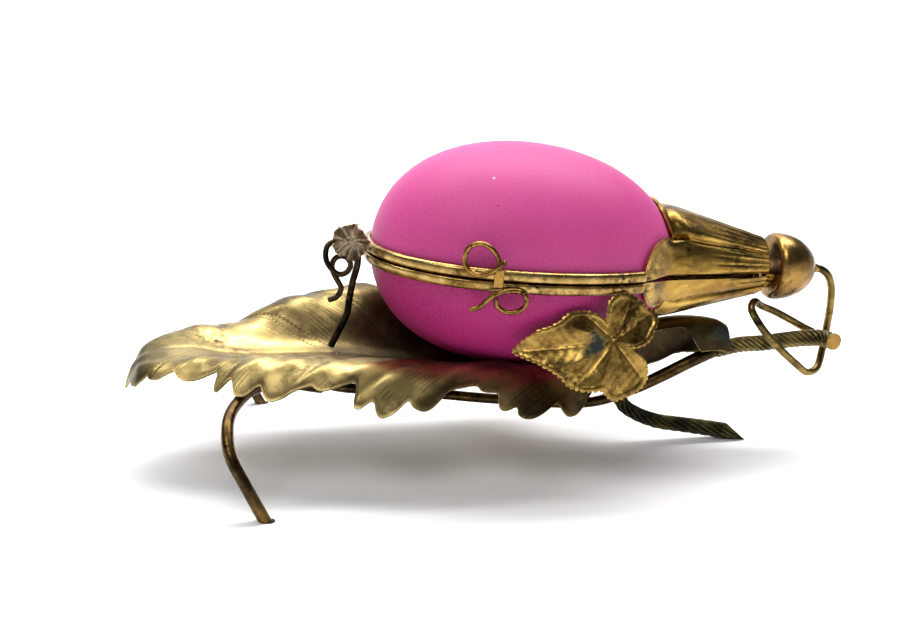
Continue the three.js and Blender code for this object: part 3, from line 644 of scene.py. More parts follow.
def knob():
    """The half-ball, with a few shallow dents."""
    rim_at = KNOB_BACK + 2.6
    back = [[KNOB_BACK + along, share * KNOB_RADIUS] for along, share in (
        (0, 0), (0, 0.8), (0.25, 0.88), (0.9, 0.955), (1.7, 0.99))]
    turn = np.linspace(0, pi / 2, 40)
    along = rim_at + (KNOB_TIP - rim_at) * np.sin(turn)
    ball = np.stack([along, KNOB_RADIUS * np.cos(turn)], axis=1)
    points, faces = turned(np.vstack([back, ball]), 128)
    rng = np.random.default_rng(4)
    for _ in range(9):
        centre = points[rng.integers(len(points) // 3, len(points))]
        away = np.linalg.norm(points - centre, axis=1)
        depth = rng.uniform(0.08, 0.2) * np.exp(-(away / rng.uniform(1.2, 3)) ** 2)
        points[:, 1:] *= (1 - depth / KNOB_RADIUS)[:, None]
    return on_egg((points, faces))


wire_socket = on_egg(turned([(KNOB_TIP + along, radius) for along, radius in (
    (-0.7, 0), (-0.7, 3.4), (0, 2.3), (0.9, 1.6), (2, 1.4), (2, 0))], 40))
piece("dented_knob", join(knob(), wire_socket), "stand", knob_gilt, ["knob"], 50)

# %% [markdown]
# ## Hinge and clasp
# The hinge at the back has three drawn knuckles on a pin. The photograph doesn't show it, so
# it is the plainest hinge that works. At the front the lid carries a bent wire loop with a
# flat tongue, and the tongue snaps over the loop of the bowl.

# %% Hinge
HINGE_RADIUS = 1.7
PIN_RADIUS = 0.65
KNUCKLE_LENGTH = 5.0
KNUCKLE_PITCH = 5.3
HINGE_BACK = float(egg_radius(HINGE_AT)) + FIT_GAP + RIM_DEPTH + FIT_GAP


def at_hinge(body, middle):
    points, faces = body
    return points + [middle, HINGE_BACK + HINGE_RADIUS, PARTING_HEIGHT], faces


def slab(low, high, chamfer=0.15):
    """A plate with small chamfers round its two largest faces."""
    (x0, y0, z0), (x1, y1, z1) = low, high
    rings = []
    for y, inset in ((y0, chamfer), (y0 + chamfer, 0), (y1 - chamfer, 0), (y1, chamfer)):
        rings.append([(x0 + inset, y, z0 + inset), (x0 + inset, y, z1 - inset),
                      (x1 - inset, y, z1 - inset), (x1 - inset, y, z0 + inset)])
    return loft(rings)


def knuckle(slot, side):
    middle = HINGE_AT + slot * KNUCKLE_PITCH
    half = KNUCKLE_LENGTH / 2
    bore = PIN_RADIUS + 0.2
    worn = HINGE_RADIUS - 0.2
    barrel = turned([(-half, bore), (-half, worn), (-half + 0.2, HINGE_RADIUS),
                     (half - 0.2, HINGE_RADIUS), (half, worn), (half, bore)], 40, True)
    near = PARTING_HEIGHT + side * PARTING_GAP / 2
    tall = PARTING_HEIGHT + side * RIM_HEIGHT
    strap = slab((middle - half, HINGE_BACK, min(near, tall)),
                 (middle + half, HINGE_BACK + 1, max(near, tall)))
    return on_egg(join(at_hinge(barrel, middle), strap))


for name, slot, side, body, node in (
        ("left", -1, -1, "stand", "bowl_knuckle_left"), ("middle", 0, 1, "lid", "lid_knuckle"),
        ("right", 1, -1, "stand", "bowl_knuckle_right")):
    piece("drawn_knuckle_" + name, knuckle(slot, side), body, rim_gilt, [node])
pin_half = 1.5 * KNUCKLE_PITCH + 0.35
pin = turned([(-pin_half, 0), (-pin_half, 0.5), (-pin_half + 0.15, PIN_RADIUS),
              (pin_half - 0.15, PIN_RADIUS), (pin_half, 0.5), (pin_half, 0)], 32)
piece("hinge_pin_wire", on_egg(at_hinge(pin, HINGE_AT)), "stand", rim_gilt,
      ["hinge_pin"])

# %% Clasp
CLASP_AT = -16.2
CLASP_WIRE = 0.75


def clasp_front(along):
    return -(float(egg_radius(along)) + FIT_GAP + RIM_DEPTH + FIT_GAP + CLASP_WIRE)


def clasp_path(points):
    """A path from [right, height, back] points round the clasp's middle."""
    return [(CLASP_AT + right, clasp_front(CLASP_AT + right) + back, height)
            for right, height, back in points]


TONGUE_HALF, TONGUE_SHEET = 1.4, 1.0
UPPER_LOOP = [
    (1, 5.4, -1.9), (-0.9, 3.6, -1.9), (-3.1, 1.7, -1.6), (-6.3, 0.6, -0.8), (-9.2, 2.2, -0.3),
    (-10, 5, 0), (-9, 8.2, 0), (-6, 9.7, 0), (-2.6, 8.3, 0), (-0.5, 5.3, 0), (0.1, 2, 0)]
LOWER_LOOP = [
    (-7.2, -10.1, -0.4), (-4.9, -9.1, -0.4), (-1.1, -5.1, -0.4), (3.2, -3.4, -0.3), (7.4, -3.8, 0),
    (8.9, -6.6, 0.2), (7.3, -9.2, 0.6), (4.1, -10.2, 1.1), (0.9, -8.8, 1.6), (0.1, -6.6, 1.8)]
front = clasp_front(CLASP_AT + TONGUE_HALF)
tongue = slab(
    (CLASP_AT - TONGUE_HALF, front - TONGUE_SHEET / 2, PARTING_HEIGHT - 1.5),
    (CLASP_AT + TONGUE_HALF, front + TONGUE_SHEET / 2, PARTING_HEIGHT + RIM_HEIGHT + 0.6), 0.25)
upper = join(tube(clasp_path(UPPER_LOOP), CLASP_WIRE, 20, 0.4), tongue)
piece("upper_clasp_loop", on_egg(upper), "lid", clasp_gilt, ["upper_clasp"])
piece("lower_clasp_loop", on_egg(tube(clasp_path(LOWER_LOOP), CLASP_WIRE, 20, 0.4)), "stand",
      clasp_gilt, ["lower_clasp"])

# %% [markdown]
# ## The leaf tray
# The tray is one long leaf cut from thin brass, hammered hollow along its midrib, with lobed
# and toothed edges curled down, and rolled to an arch over the stalk. It could be sculpted,
# but short lists are easier to correct against the photograph: they give the midrib, both
# ridges and the half width along the leaf, and the surface is worked out from them. It is
# dished where the egg lies.

# %% Leaf shape
LEAF_SHEET = 0.8
LEAF_CLEARANCE = 0.9
CURL_DROP = 15
CURL_WIDTH = 16
MARGIN_RAKE = 0.5
RIDGE_SHARE = 0.6
ARCH, ARCH_REACH = (44, 68), 88
NEAR_CUT_IN, NEAR_CUT_OUT, NEAR_CUT_REACH = (52, 62), (79, 86), 46
VEIN_LEAN = 1.6
VEIN_WIDTH = 1.52
VEIN_ROOTS = (-72, -35, -4, 22, 48)
# Heights, widths and the flat outline, all as [place along the leaf, value].
MIDRIB = [
    (-103.4, 25.5), (-101, 32), (-96, 36.2), (-83, 37.6), (-69, 35.4), (-39, 35), (-15, 32.6),
    (8, 30.6), (26, 29.9), (40, 30.8), (50, 34.6), (60, 41), (66, 43.4), (72, 44.7), (79, 45.3),
    (86.4, 44.9), (92.5, 43.7), (96, 41.8)]
FAR_RIDGE = [
    (-103.4, 25.2), (-98, 36), (-83, 40), (-67, 41), (-52, 47.5), (-36, 49.5), (-25, 51),
    (-8, 47.5), (12, 42), (32, 39.5), (50, 36)]
NEAR_RIDGE = [
    (-103.4, 25.2), (-98, 34), (-83, 37.5), (-60, 39.5), (-40, 39.5), (-20, 38.5), (12, 37),
    (35, 35), (50, 35)]
HALF_WIDTHS = [
    (-103.4, 1.2), (-99, 9), (-90, 17), (-76, 25), (-60, 34), (-42, 39), (-18, 42), (12, 42),
    (30, 37), (42, 27), (54, 15), (66, 8), (96, 5.6)]
NEAR_DROP = [(44, 12), (66, 11), (84, 11.5), (96, 9)]
FAR_DROP = [(44, 12), (60, 20), (74, 19.5), (82, 16), (90, 14.5), (96, 9)]
MARGIN = [
    (-103.4, 1.2), (-101.3, 4.9), (-100.3, 11.1), (-98.1, 13), (-94.7, 12.9), (-95.3, 14.3),
    (-93, 16.1), (-90.3, 16.4), (-86.9, 16.4), (-86.6, 18.5), (-84.2, 19.9), (-79.8, 21),
    (-76.9, 20.9), (-73.6, 20.5), (-75.5, 24.5), (-74.9, 25.8), (-72.9, 25.5), (-69.9, 24.3),
    (-69.7, 28.1), (-68.6, 29), (-66.1, 29.8), (-61.4, 28.4), (-61.2, 30.5), (-59.3, 32.2),
    (-57.6, 32.6), (-52, 32), (-46.9, 31.4), (-46.3, 31.6), (-44.8, 33), (-41.4, 33.2),
    (-36.9, 32.3), (-32.6, 31.1), (-35, 36.1), (-34, 36.9), (-32.5, 37), (-28.5, 35.3),
    (-28.3, 37.7), (-27.1, 39), (-25.3, 39), (-22, 38.3), (-18.2, 35.9), (-17.7, 37.3),
    (-16, 38.2), (-13.3, 38.3), (-9.6, 36.8), (-5.8, 33.7), (-2.4, 33.4), (3.3, 32.3), (4, 33.8),
    (6.8, 33.9), (9.9, 33.5), (8.9, 36.2), (9.5, 37.9), (11.7, 38.1), (15.3, 36.7), (14.7, 38.4),
    (17.5, 38.9), (20.8, 38.2), (24.6, 36.3), (28.4, 33.4), (29.8, 35), (32, 35.5), (36, 33),
    (41.5, 26.5), (47, 20), (53, 15), (59, 11), (66, 8), (80, 6.9), (89, 6.1),
    (96, 5.6)]


def egg_hollow(x, y):
    """The underside of the egg, with the leaf's clearance, over a place on the leaf."""
    along = (x - EGG_CENTRE[0]) / cos(EGG_SINK)
    radius = egg_radius(along) + LEAF_CLEARANCE
    depth = np.sqrt(np.maximum(radius**2 - y**2, 0))
    under = EGG_CENTRE[2] - along * sin(EGG_SINK) - depth
    return np.where(radius > np.abs(y), under, 1e3)


def leaf_face(x, y):
    """The upper face over a place on the flat pattern: a dish that turns into an arch."""
    stalkward = smoothstep(x, *ARCH)
    half = stations(HALF_WIDTHS, x)
    ridge_at = RIDGE_SHARE * half
    low = stations(MIDRIB, x)
    high = np.where(y > 0, stations(FAR_RIDGE, x), stations(NEAR_RIDGE, x))
    t = np.clip(np.abs(y) / ridge_at, 0, 1)
    rise = t**3 * (t * (6 * t - 15) + 10)
    past = np.maximum(np.abs(y) - ridge_at, 0) / CURL_WIDTH
    dish = low + (high - low) * rise - CURL_DROP * past**1.7 + hammering(x, y)
    dish = np.minimum(dish, egg_hollow(x, y))
    near_cut = smoothstep(x, *NEAR_CUT_IN) - smoothstep(x, *NEAR_CUT_OUT)
    reach = np.where(y < 0, ARCH_REACH - NEAR_CUT_REACH * near_cut, ARCH_REACH)
    drop = np.where(y > 0, stations(FAR_DROP, x), stations(NEAR_DROP, x))
    turn = np.radians(np.clip(y / half, -1, 1) * reach)
    arch_y, arch_z = half * np.sin(turn), low - drop * (1 - np.cos(turn))
    return np.stack([x + 0 * y, y + (arch_y - y) * stalkward, dish + (arch_z - dish) * stalkward],
                    axis=-1)


def hammering(x, y):
    """Soft waves beside the veins, and a crease along each vein and the midrib."""
    lean = x + VEIN_LEAN * np.abs(y)
    fade = smoothstep(np.abs(y), 3, 18) * smoothstep(x, -100, -90) * (1 - smoothstep(x, 34, 50))
    waves = 0.45 * np.sin(lean / 5.5) + 0.22 * np.sin(lean / 2.3 + 2)
    crease = sum(np.exp(-((lean - root) / VEIN_WIDTH) ** 2) for root in VEIN_ROOTS)
    return fade * (waves - 0.3 * crease) - 0.5 * np.exp(-(y / 1.2) ** 2) * smoothstep(x, -100, -90)


def rounded(points, passes=3):
    """Cuts the corners of an open outline, which rounds its teeth."""
    p = np.array(points, float)
    for _ in range(passes):
        cut = np.stack([0.74 * p[:-1] + 0.26 * p[1:], 0.26 * p[:-1] + 0.74 * p[1:]], axis=1)
        p = np.vstack([p[:1], cut.reshape(-1, 2), p[-1:]])
    return p


margin = rounded(MARGIN)


def leaf_place(u, v):
    """Where a point of the sheet lies on the flat pattern; rows lean as the teeth do."""
    row = np.clip(u, 0, 1) * (len(margin) - 1)
    x, half = (np.interp(row, np.arange(len(margin)), side) for side in margin.T)
    rake = MARGIN_RAKE * (1 - smoothstep(x, 30, 64))
    across = 2 * v - 1
    return x + rake * half * (1 - np.abs(across)), half * across


print("leaf outline:", len(margin), "points, widest", round(margin[:, 1].max() * 2, 1), "mm")

# %% [markdown]
# ## The leaf's finish and its engraving
# The gilding is pale and rubbed, with brown clouds. Painted shade darkens the hollow under the egg
# and the inside of the arch, and the curled tips of the lobes are darker in brown patches. The
# engraver cut veins as double zig-zag lines from the midrib towards each lobe, bundles of fine
# strokes beside them, and short strokes round the rims of the lobes. Cuts of a tenth of a
# millimetre would need millions of faces, so the mesh carries the flat place of each point on the
# leaf and its distance from the edge, and the shader draws the cuts from those.

# %% Engraved leaf finish
VEIN_PAIR = 1.5
ZIGZAG_MM = 1.4
STROKE_MM = 1.1
BUNDLE_MM = 11
COMB_MM = 0.72


def vein_fields(x, y):
    """Distance from the nearest vein, and the run along it, for flat places on the leaf."""
    lean = x + VEIN_LEAN * np.abs(y)
    away = np.stack([lean - root for root in VEIN_ROOTS]) / np.hypot(1, VEIN_LEAN)
    nearest = np.argmin(np.abs(away), axis=0)
    return np.take_along_axis(away, nearest[None], axis=0)[0], np.hypot(1, VEIN_LEAN) * np.abs(y)


def engraving(tree):
    """A mask that is 1 in the engraver's cuts."""
    away, run, rim_run, edge, x = (
        add(tree, "Attribute", attribute_name="leaf_" + name).outputs["Fac"]
        for name in ("vein", "run", "rim_run", "edge", "x"))
    place = add(tree, "TexCoord").outputs["Object"]
    beyond = add(tree, "Math", [away], operation="ABSOLUTE")
    # A pair of zig-zag lines runs along each vein, and closes to a point at its end.
    zigzag = add(tree, "Math", [run, ZIGZAG_MM / 2], operation="PINGPONG")
    spread = add(tree, "MapRange", [run, 4, 40, VEIN_PAIR, 0.2])
    apart = add(tree, "Math", [beyond, spread], operation="SUBTRACT")
    offset = add(tree, "Math", [zigzag, 0.8, apart], operation="MULTIPLY_ADD")
    offset = add(tree, "Math", [offset, 0.3], operation="SUBTRACT")
    near = add(tree, "Math", [offset], operation="ABSOLUTE")
    # Bundles of fine strokes lie beside the veins, where the graver was drawn to and fro.
    stroke = add(tree, "Math", [away, STROKE_MM / 2], operation="PINGPONG")
    here = add(tree, "TexNoise", {"Vector": place, "Scale": 1000 / BUNDLE_MM, "Detail": 1})
    # Short strokes go round the rim of every tooth.
    comb = add(tree, "Math", [rim_run, COMB_MM / 2], operation="PINGPONG")
    deepest = None
    for limits in (
            [(near, 0.06, 0.26, 0.75, 0), (run, 6, 8, 0, 1), (run, 40, 42, 1, 0)],
            [(stroke, 0.03, 0.16, 0.75, 0), (here, 0.47, 0.53, 0, 1), (beyond, 2.2, 2.6, 0, 1)],
            [(comb, 0.05, 0.22, 0.55, 0), (edge, 0.35, 0.6, 0, 1), (edge, 1.5, 2.2, 1, 0)]):
        lines = 1.0
        for limit in limits:
            mask = add(tree, "MapRange", limit)
            lines = add(tree, "Math", [lines, mask], operation="MULTIPLY")
        deepest = lines if deepest is None else add(
            tree, "Math", [deepest, lines], operation="MAXIMUM")
    blade = add(tree, "MapRange", [x, 38, 46, 1, 0])
    return add(tree, "Math", [deepest, blade], operation="MULTIPLY")


def lobe_tip_darkening(tree):
    """Darker brown patches along the curled tips of the lobes, up to 5.5 mm from the edge."""
    edge = add(tree, "Attribute", attribute_name="leaf_edge").outputs["Fac"]
    place = add(tree, "TexCoord").outputs["Object"]
    patches = add(tree, "TexNoise", {"Vector": place, "Scale": 1000 / 16, "Detail": 4})
    patches = add(tree, "MapRange", [patches, 0.42, 0.58, 0.15, 0.8])
    tips = add(tree, "MapRange", [edge, 1.0, 5.5, 1.0, 0.0])
    return add(tree, "Math", [tips, patches], operation="MULTIPLY")


# Pale gilt sheet, rubbed and finely cut: soft long lights that break up at every line.
leaf_gilt = aged_brass(
    "engraved_pale_gilt_leaf", "#B9A167", "#746741", "#2E231A", 0.5, 20, (0.28, 0.45),
    green=[(94, -4, 40, 4), (84, 3, 42, 4)], cuts=engraving, shade=lobe_tip_darkening,
    # Painted shade in the hollow under the egg and along the inside of the arch.
    painted_shade_spots=[(-24, 12, 38, 23), (-46, 22, 42, 12), (60, 0, 38, 19), (76, 0, 36, 22),
          (92, 0, 36, 22)])

# %% Leaf mesh, with the fields that the engraving reads
LEAF_ROWS, LEAF_COLUMNS = 620, 78
grid_u, grid_v = shares(LEAF_ROWS, LEAF_COLUMNS)
flat_x, flat_y = leaf_place(grid_u, grid_v)
middle = LEAF_COLUMNS // 2
row_length = np.hypot(flat_x[:, :1] - flat_x[:, middle:middle + 1], flat_y[:, :1])
rim_away = (1 - np.abs(2 * grid_v - 1)) * row_length
rim_step = np.hypot(np.diff(flat_x[:, 0]), np.diff(flat_y[:, 0]))
rim_run = np.concatenate([[0], np.cumsum(rim_step)])[:, None] + 0 * flat_x
vein, run = vein_fields(flat_x, flat_y)
fields = {"leaf_" + name: np.tile(values.ravel(), 2) for name, values in (
    ("x", flat_x), ("vein", vein), ("run", run), ("rim_run", rim_run), ("edge", rim_away))}
leaf = sheet(leaf_face, LEAF_ROWS, LEAF_COLUMNS, LEAF_SHEET, place=leaf_place, step=0.01)
piece("engraved_leaf", leaf, "stand", leaf_gilt, ["leaf_tray"], 60, fields)

# %% [markdown]
# ## Rods, legs and posts
# Smooth rods were drawn and bent cold; the stalk and the third foot were cast from a model
# with a rope twist, so their grooves are soft. Twisting real strands would show gaps that a
# casting hasn't, so a rope's section here is one round with lobes that turns as it goes
# along. Feet end flat on the ground.

# %% Rods and rope casts
LEG_PATH = [
    (-42, -2.8, 23.6), (-55, -10, 28), (-64, -20, 29.5), (-70.3, -33, 26.9), (-71.2, -40, 23),
    (-70.3, -44.5, 18.3), (-66.1, -48, 10.4), (-61.2, -49, 0.6), (-59.6, -49.2, -2.4)]
SPINE_PATH = [
    (-38, 0, 23.2), (-33, 0, 22.3), (-10, 0, 20.2), (18, 0, 16.9), (49.6, 0, 14.9), (63.6, 0, 18.9),
    (75.7, 0, 24.3), (84.4, 0, 28.6), (92.6, 0, 32.3)]
STALK_PATH = [
    (93.2, 0, 32.6), (102, 0, 34.4), (110, -0.3, 34.9), (117.2, -1.2, 36), (124.3, -3, 37.2),
    (128.7, -5.6, 38), (130.4, -8, 38), (130.9, -10.7, 38.1)]
TWIG_PATH = [
    (60.1, 0, 15.8), (62, 0, 13.1), (64.7, 0, 11.2), (68.6, 0, 9.2), (74.7, 0, 7.1), (80.9, 0, 6),
    (87.1, 0, 5), (93.4, 0, 3.9), (99, 0, 2.8), (107, 0, 1.4)]
TWIG_TIP, TWIG_CUT = 106.5, radians(41)
LEG_RADIUS, SPINE_RADIUS, SPINE_THICKENING, POST_RADIUS = 1.8, 1.7, 0.5, 1.3
ROPE_LOBES, ROPE_GROOVE, ROPE_END_RADIUS = 9, 0.85, 2.95


def rope(points, start_radius, lead):
    """A cast rope whose lobes go once round in one lead."""
    length = path_length(points)

    def outline(angles, at):
        radius = start_radius + (ROPE_END_RADIUS - start_radius) * at / length
        lobe = np.abs(np.cos(ROPE_LOBES * (angles - at / lead * 2 * pi) / 2)) ** 0.8
        fade = 1 - 0.8 * smoothstep(at, length - 1.6, length - 0.4)
        return radius - ROPE_GROOVE * (1 - lobe) * fade

    return tube(points, ROPE_END_RADIUS, ROPE_LOBES * 14, 0.45, outline, round_ends=False)


def standing(body):
    """Flattens what would reach below the ground."""
    points, faces = body
    points = points.copy()
    points[:, 2] = np.maximum(points[:, 2], 0)
    return points, faces


for side, node in ((1, "front_leg"), (-1, "back_leg")):
    path = [(x, side * y, z) for x, y, z in LEG_PATH]
    piece("bowed_" + node, standing(tube(path, LEG_RADIUS, 28, 0.6)), "stand",
          rod_patina, [node])


def spine_section(angles, at):
    thickening = SPINE_THICKENING * float(smoothstep(at, 80, 120))
    return np.full(len(angles), SPINE_RADIUS + thickening)


spine = tube(SPINE_PATH, SPINE_RADIUS, 28, outline=spine_section)
piece("smooth_spine_rod", spine, "stand", spine_rod_painted_shade, ["spine_rod"])
stalk = piece("rope_cast_stalk", rope(STALK_PATH, 2.75, 18), "stand", rope_patina,
              ["stalk"], 50)
stalk.data.materials.append(cut_gilt)
stalk.data.polygons[-1].material_index = 1
foot_points, foot_faces = standing(rope(TWIG_PATH, 2.4, 34))
slant = (TWIG_TIP - foot_points[:, 0]) * tan(TWIG_CUT)
foot_points[:, 2] = np.clip(foot_points[:, 2], 0, np.maximum(slant, 0))
foot_points[:, 0] = np.minimum(foot_points[:, 0], TWIG_TIP)
piece("rope_cast_foot", (foot_points, foot_faces), "stand", foot_cast_painted_shade,
      ["twig_foot"], 50)
for name, node, x, low, high in (("post_over_the_legs", "leaf_post", -37, 24.5, 34.4),
                                 ("post_in_the_arch", "arch_post", 88.5, 32, 43.6)):
    path = [(x, 0, low), (x, 0, (low + high) / 2), (x, 0, high)]
    piece(name, tube(path, POST_RADIUS, 24), "stand", rod_patina, [node])

# %% [markdown]
# ## Wires
# Three wires were bent round pliers and soldered on: a thick one that loops from the knob
# round the stalk, and a support and a curl beside the blossom. Their paths are points read
# off the photograph, with the depth chosen so that none touch.

# %% Wires
TENDRIL_PATH = [
    (126.3, 0, 61.2), (128.3, 0, 61), (131.1, 0, 59.2), (133.7, 1, 55), (135.1, 2.2, 47.5),
    (135, 2.5, 39.8), (133.5, 1, 31.4), (130.6, -2, 26), (125.8, -4.5, 25.3), (120.5, -6, 28.9),
    (111.7, -7.2, 36.3), (105.5, -6.6, 43), (102.6, -4.4, 48.6), (104.2, -2.6, 50.4),
    (108.5, 0, 48.1), (115.8, 2.2, 44.9), (126, 2.2, 39.6), (129.6, 2.2, 37.9)]
SUPPORT_PATH = [
    (-38.7, 0, 36.9), (-33.7, -0.5, 47.9), (-33.1, -1, 52.3), (-32.2, -2, 58.2), (-30.7, -3, 65),
    (-31, -3.4, 68.5), (-33.2, -3.4, 71.6)]
CURL_PATH = [
    (-37, -3.8, 72.6), (-40.3, -5.6, 71), (-40.9, -7.2, 67.3), (-39.3, -7.9, 64.3),
    (-36.9, -7.9, 62.5), (-34.3, -7.6, 63.2), (-33.3, -7.1, 65.5), (-34.6, -6.6, 67.6),
    (-37, -6, 67.7), (-38.7, -5.5, 65.8), (-38.7, -5.4, 63.1), (-37.2, -5.8, 60),
    (-36.1, -6.2, 57.5), (-37.5, -6.5, 54.9), (-40, -6.8, 54)]
for name, node, path, radius, sides, spacing, metal in (
        ("looped_knob_tendril", "knob_tendril", TENDRIL_PATH, 1.3, 24, 0.5, tendril_gilt),
        ("bent_support_wire", "support_wire", SUPPORT_PATH, 1.1, 20, 0.5, black_wire),
        ("curled_tendril", "curl_tendril", CURL_PATH, 0.9, 20, 0.35, black_wire)):
    piece(name, tube(path, radius, sides, spacing), "stand", metal, [node])

# %% [markdown]
# ## The vine leaf and the blossom
# The vine leaf is stamped from brighter gilt sheet: five lobes, small teeth round a raised
# pale rim, and grooves for veins that meet at the stud in the middle. Verdigris has grown
# round the stud. The blossom is a scrap of sheet crumpled into five petals. Both are discs
# whose edge and relief are formulas of the direction from the middle, so teeth and veins
# are real geometry and catch the light.

# %% Vine leaf
# The edge as [direction in degrees, reach], clockwise.
VINE_CENTRE = np.array([42.9, -38.0, 48.5])
VINE_TILT = radians(15)
VINE_SHEET = 0.8
STUD_RADIUS = 1.9
VINE_EDGE = [
    (-175, 29.8), (-182, 26.2), (-188, 22.9), (-192, 19.8), (-199, 17.3), (-210, 15.9),
    (-221, 13.5), (-231, 11.1), (-241, 8.6), (-249, 5.9), (-258, 8), (-265, 11.8), (-278, 14.2),
    (-290, 14.9), (-302, 14.9), (-318, 14.5), (-330, 16), (-338, 15.2), (-348, 12.7),
    (-362, 10.5), (-377, 6.6), (-382, 5.6), (-387, 7.4), (-392, 11), (-400, 14), (-409, 15.9),
    (-419, 16.6), (-431, 16.8), (-448, 17.8), (-458, 16.5), (-466, 15), (-476, 16.3),
    (-486, 17.8), (-495, 18.8), (-506, 19.1), (-516, 20.5), (-525, 23.6), (-530, 26.7),
    (-533, 28.9), (-535, 29.8)]
VINE_VEINS = (-175, -224, -295, -325, -412, -448, -490)
TOOTH_MM = 1.7


def vine_edge(v):
    """The toothed outline as directions and reaches, for shares of the way round it."""
    direction, reach = np.array(VINE_EDGE).T
    angle = np.radians(direction)
    corner = np.stack([reach * np.cos(angle), reach * np.sin(angle)])
    travel = np.concatenate([[0], np.cumsum(np.linalg.norm(np.diff(corner), axis=0))])
    at = (v % 1) * travel[-1]
    turn = np.interp(at, travel, direction)
    teeth = np.abs(np.sin(pi * at / TOOTH_MM)) ** 0.7
    return turn, np.interp(at, travel, reach) - 0.45, 0.75 * teeth


def vine_relief(right, up, turn, reach, edge):
    """Height over the flat leaf: pillows between grooves, a rolled rim and faint ripples."""
    nearest = np.ones_like(turn)
    for vein in VINE_VEINS:
        away = np.radians(turn - vein)
        nearest = np.where(np.cos(away) > 0, np.minimum(nearest, np.abs(np.sin(away))), nearest)
    away_mm = nearest * reach
    pillow = 1.1 * smoothstep(away_mm, 0, 6)
    push = 2 * np.exp(-((right + 7) ** 2 + (up + 13) ** 2) / 70)
    groove = (0.35 * np.exp(-(away_mm / 0.45) ** 2) * smoothstep(reach, 1.5, 4)
              * smoothstep(edge - reach, 1, 4))
    rolled = 0.32 * np.exp(-((edge - reach) / 0.8) ** 2)
    ripple = (0.05 * np.sin(2.1 * right + 3 * np.sin(0.35 * up)) * np.sin(1.3 * up + 1)
              * smoothstep(reach, 4, 12))
    return pillow + push + rolled + ripple - groove - 0.006 * reach**2


def vine_face(u, v):
    turn, edge, teeth = vine_edge(v)
    reach = edge * (0.02 + 0.98 * u) + teeth * np.abs(u) ** 14
    right, up = reach * np.cos(np.radians(turn)), reach * np.sin(np.radians(turn))
    relief = vine_relief(right, up, turn, reach, edge)
    return VINE_CENTRE + np.stack([
        right, up * sin(VINE_TILT) - relief * cos(VINE_TILT),
        up * cos(VINE_TILT) + relief * sin(VINE_TILT)], axis=-1)


def dome(centre, radii, tilt=0.0, rows=24, sides=32):
    """A flattened ball, tilted about the stand's x."""
    points, faces = turned([(-cos(t), sin(t)) for t in np.linspace(0.02, pi - 0.02, rows)], sides)
    x, y, z = (points[:, [1, 0, 2]] * radii).T
    points = np.stack([x, y * cos(tilt) + z * sin(tilt), z * cos(tilt) - y * sin(tilt)], axis=1)
    ends = [tuple(range(sides)), tuple((rows - 1) * sides + j for j in range(sides))[::-1]]
    return points + centre, faces + ends


# Fresher gilding than on the leaf tray: hard little lights, with green salts at the stud.
vine_gilt = aged_brass(
    "bright_gilt_vine_leaf", "#BE9A50", "#6B5027", "#231A10", 0.65, 7, (0.2, 0.36),
    green=[(37.5, -39, 48.6, 4), (45.5, -40, 34.5, 1.6), (21, -39, 47, 1.8)])
vine = join(sheet(vine_face, 60, 700, VINE_SHEET, wrap=True),
            dome(VINE_CENTRE + [0, 0.2, 0], (STUD_RADIUS, STUD_RADIUS / 2, STUD_RADIUS),
                 -VINE_TILT))
piece("toothed_vine_leaf", vine, "stand", vine_gilt, ["vine_leaf"], 50)
PIN_PATH = [
    (39.5, -23.5, 32.6), (40.6, -28, 35.2), (42, -32.6, 39.8), (42.8, -35.2, 45),
    (42.9, -36.6, 48)]
piece("vine_leaf_wire", tube(PIN_PATH, 1.1, 20, 0.5), "stand", rod_patina,
      ["vine_leaf_pin"])

# %% Blossom
BLOSSOM_CENTRE = np.array([-33.0, -7.3, 72.8])
BLOSSOM_YAW = radians(22)
BLOSSOM_RADIUS = 6.0
BLOSSOM_SHEET = 0.6


def blossom_face(u, v):
    turn = -v * 2 * pi
    petal = 0.8 + 0.2 * np.abs(np.cos(2.5 * turn)) ** 0.6 + 0.03 * np.sin(17 * turn + 1)
    reach = BLOSSOM_RADIUS * petal * (0.03 + 0.97 * u)
    ruffle = (u**2 * (0.9 * np.cos(10 * turn) - 1.1) + 0.35 * u * np.sin(7 * turn + 5 * u)
              + 0.25 * np.sin(23 * turn) * u**3)
    side, up = reach * np.cos(turn), reach * np.sin(turn)
    return BLOSSOM_CENTRE + np.stack([
        side * cos(BLOSSOM_YAW) + ruffle * sin(BLOSSOM_YAW),
        -side * sin(BLOSSOM_YAW) + ruffle * cos(BLOSSOM_YAW), up], axis=-1)


flower = join(sheet(blossom_face, 26, 220, BLOSSOM_SHEET, wrap=True),
              dome(BLOSSOM_CENTRE + [0, -0.1, 0], (1.3, 0.8, 1.3)))
piece("crumpled_blossom", flower, "stand", blossom_brass, ["blossom"], 50)

# %% [markdown]
# ## Light, floor and camera
# The object was photographed on white, close up, with soft light from above and behind. The
# floor runs up into a back wall so no edge shows. A light for the wall alone keeps it white
# while the soft boxes stay weak enough for the metal. The camera's place was worked out from
# the picture: about a third of a metre away, a little to the left, looking down 16 degrees.

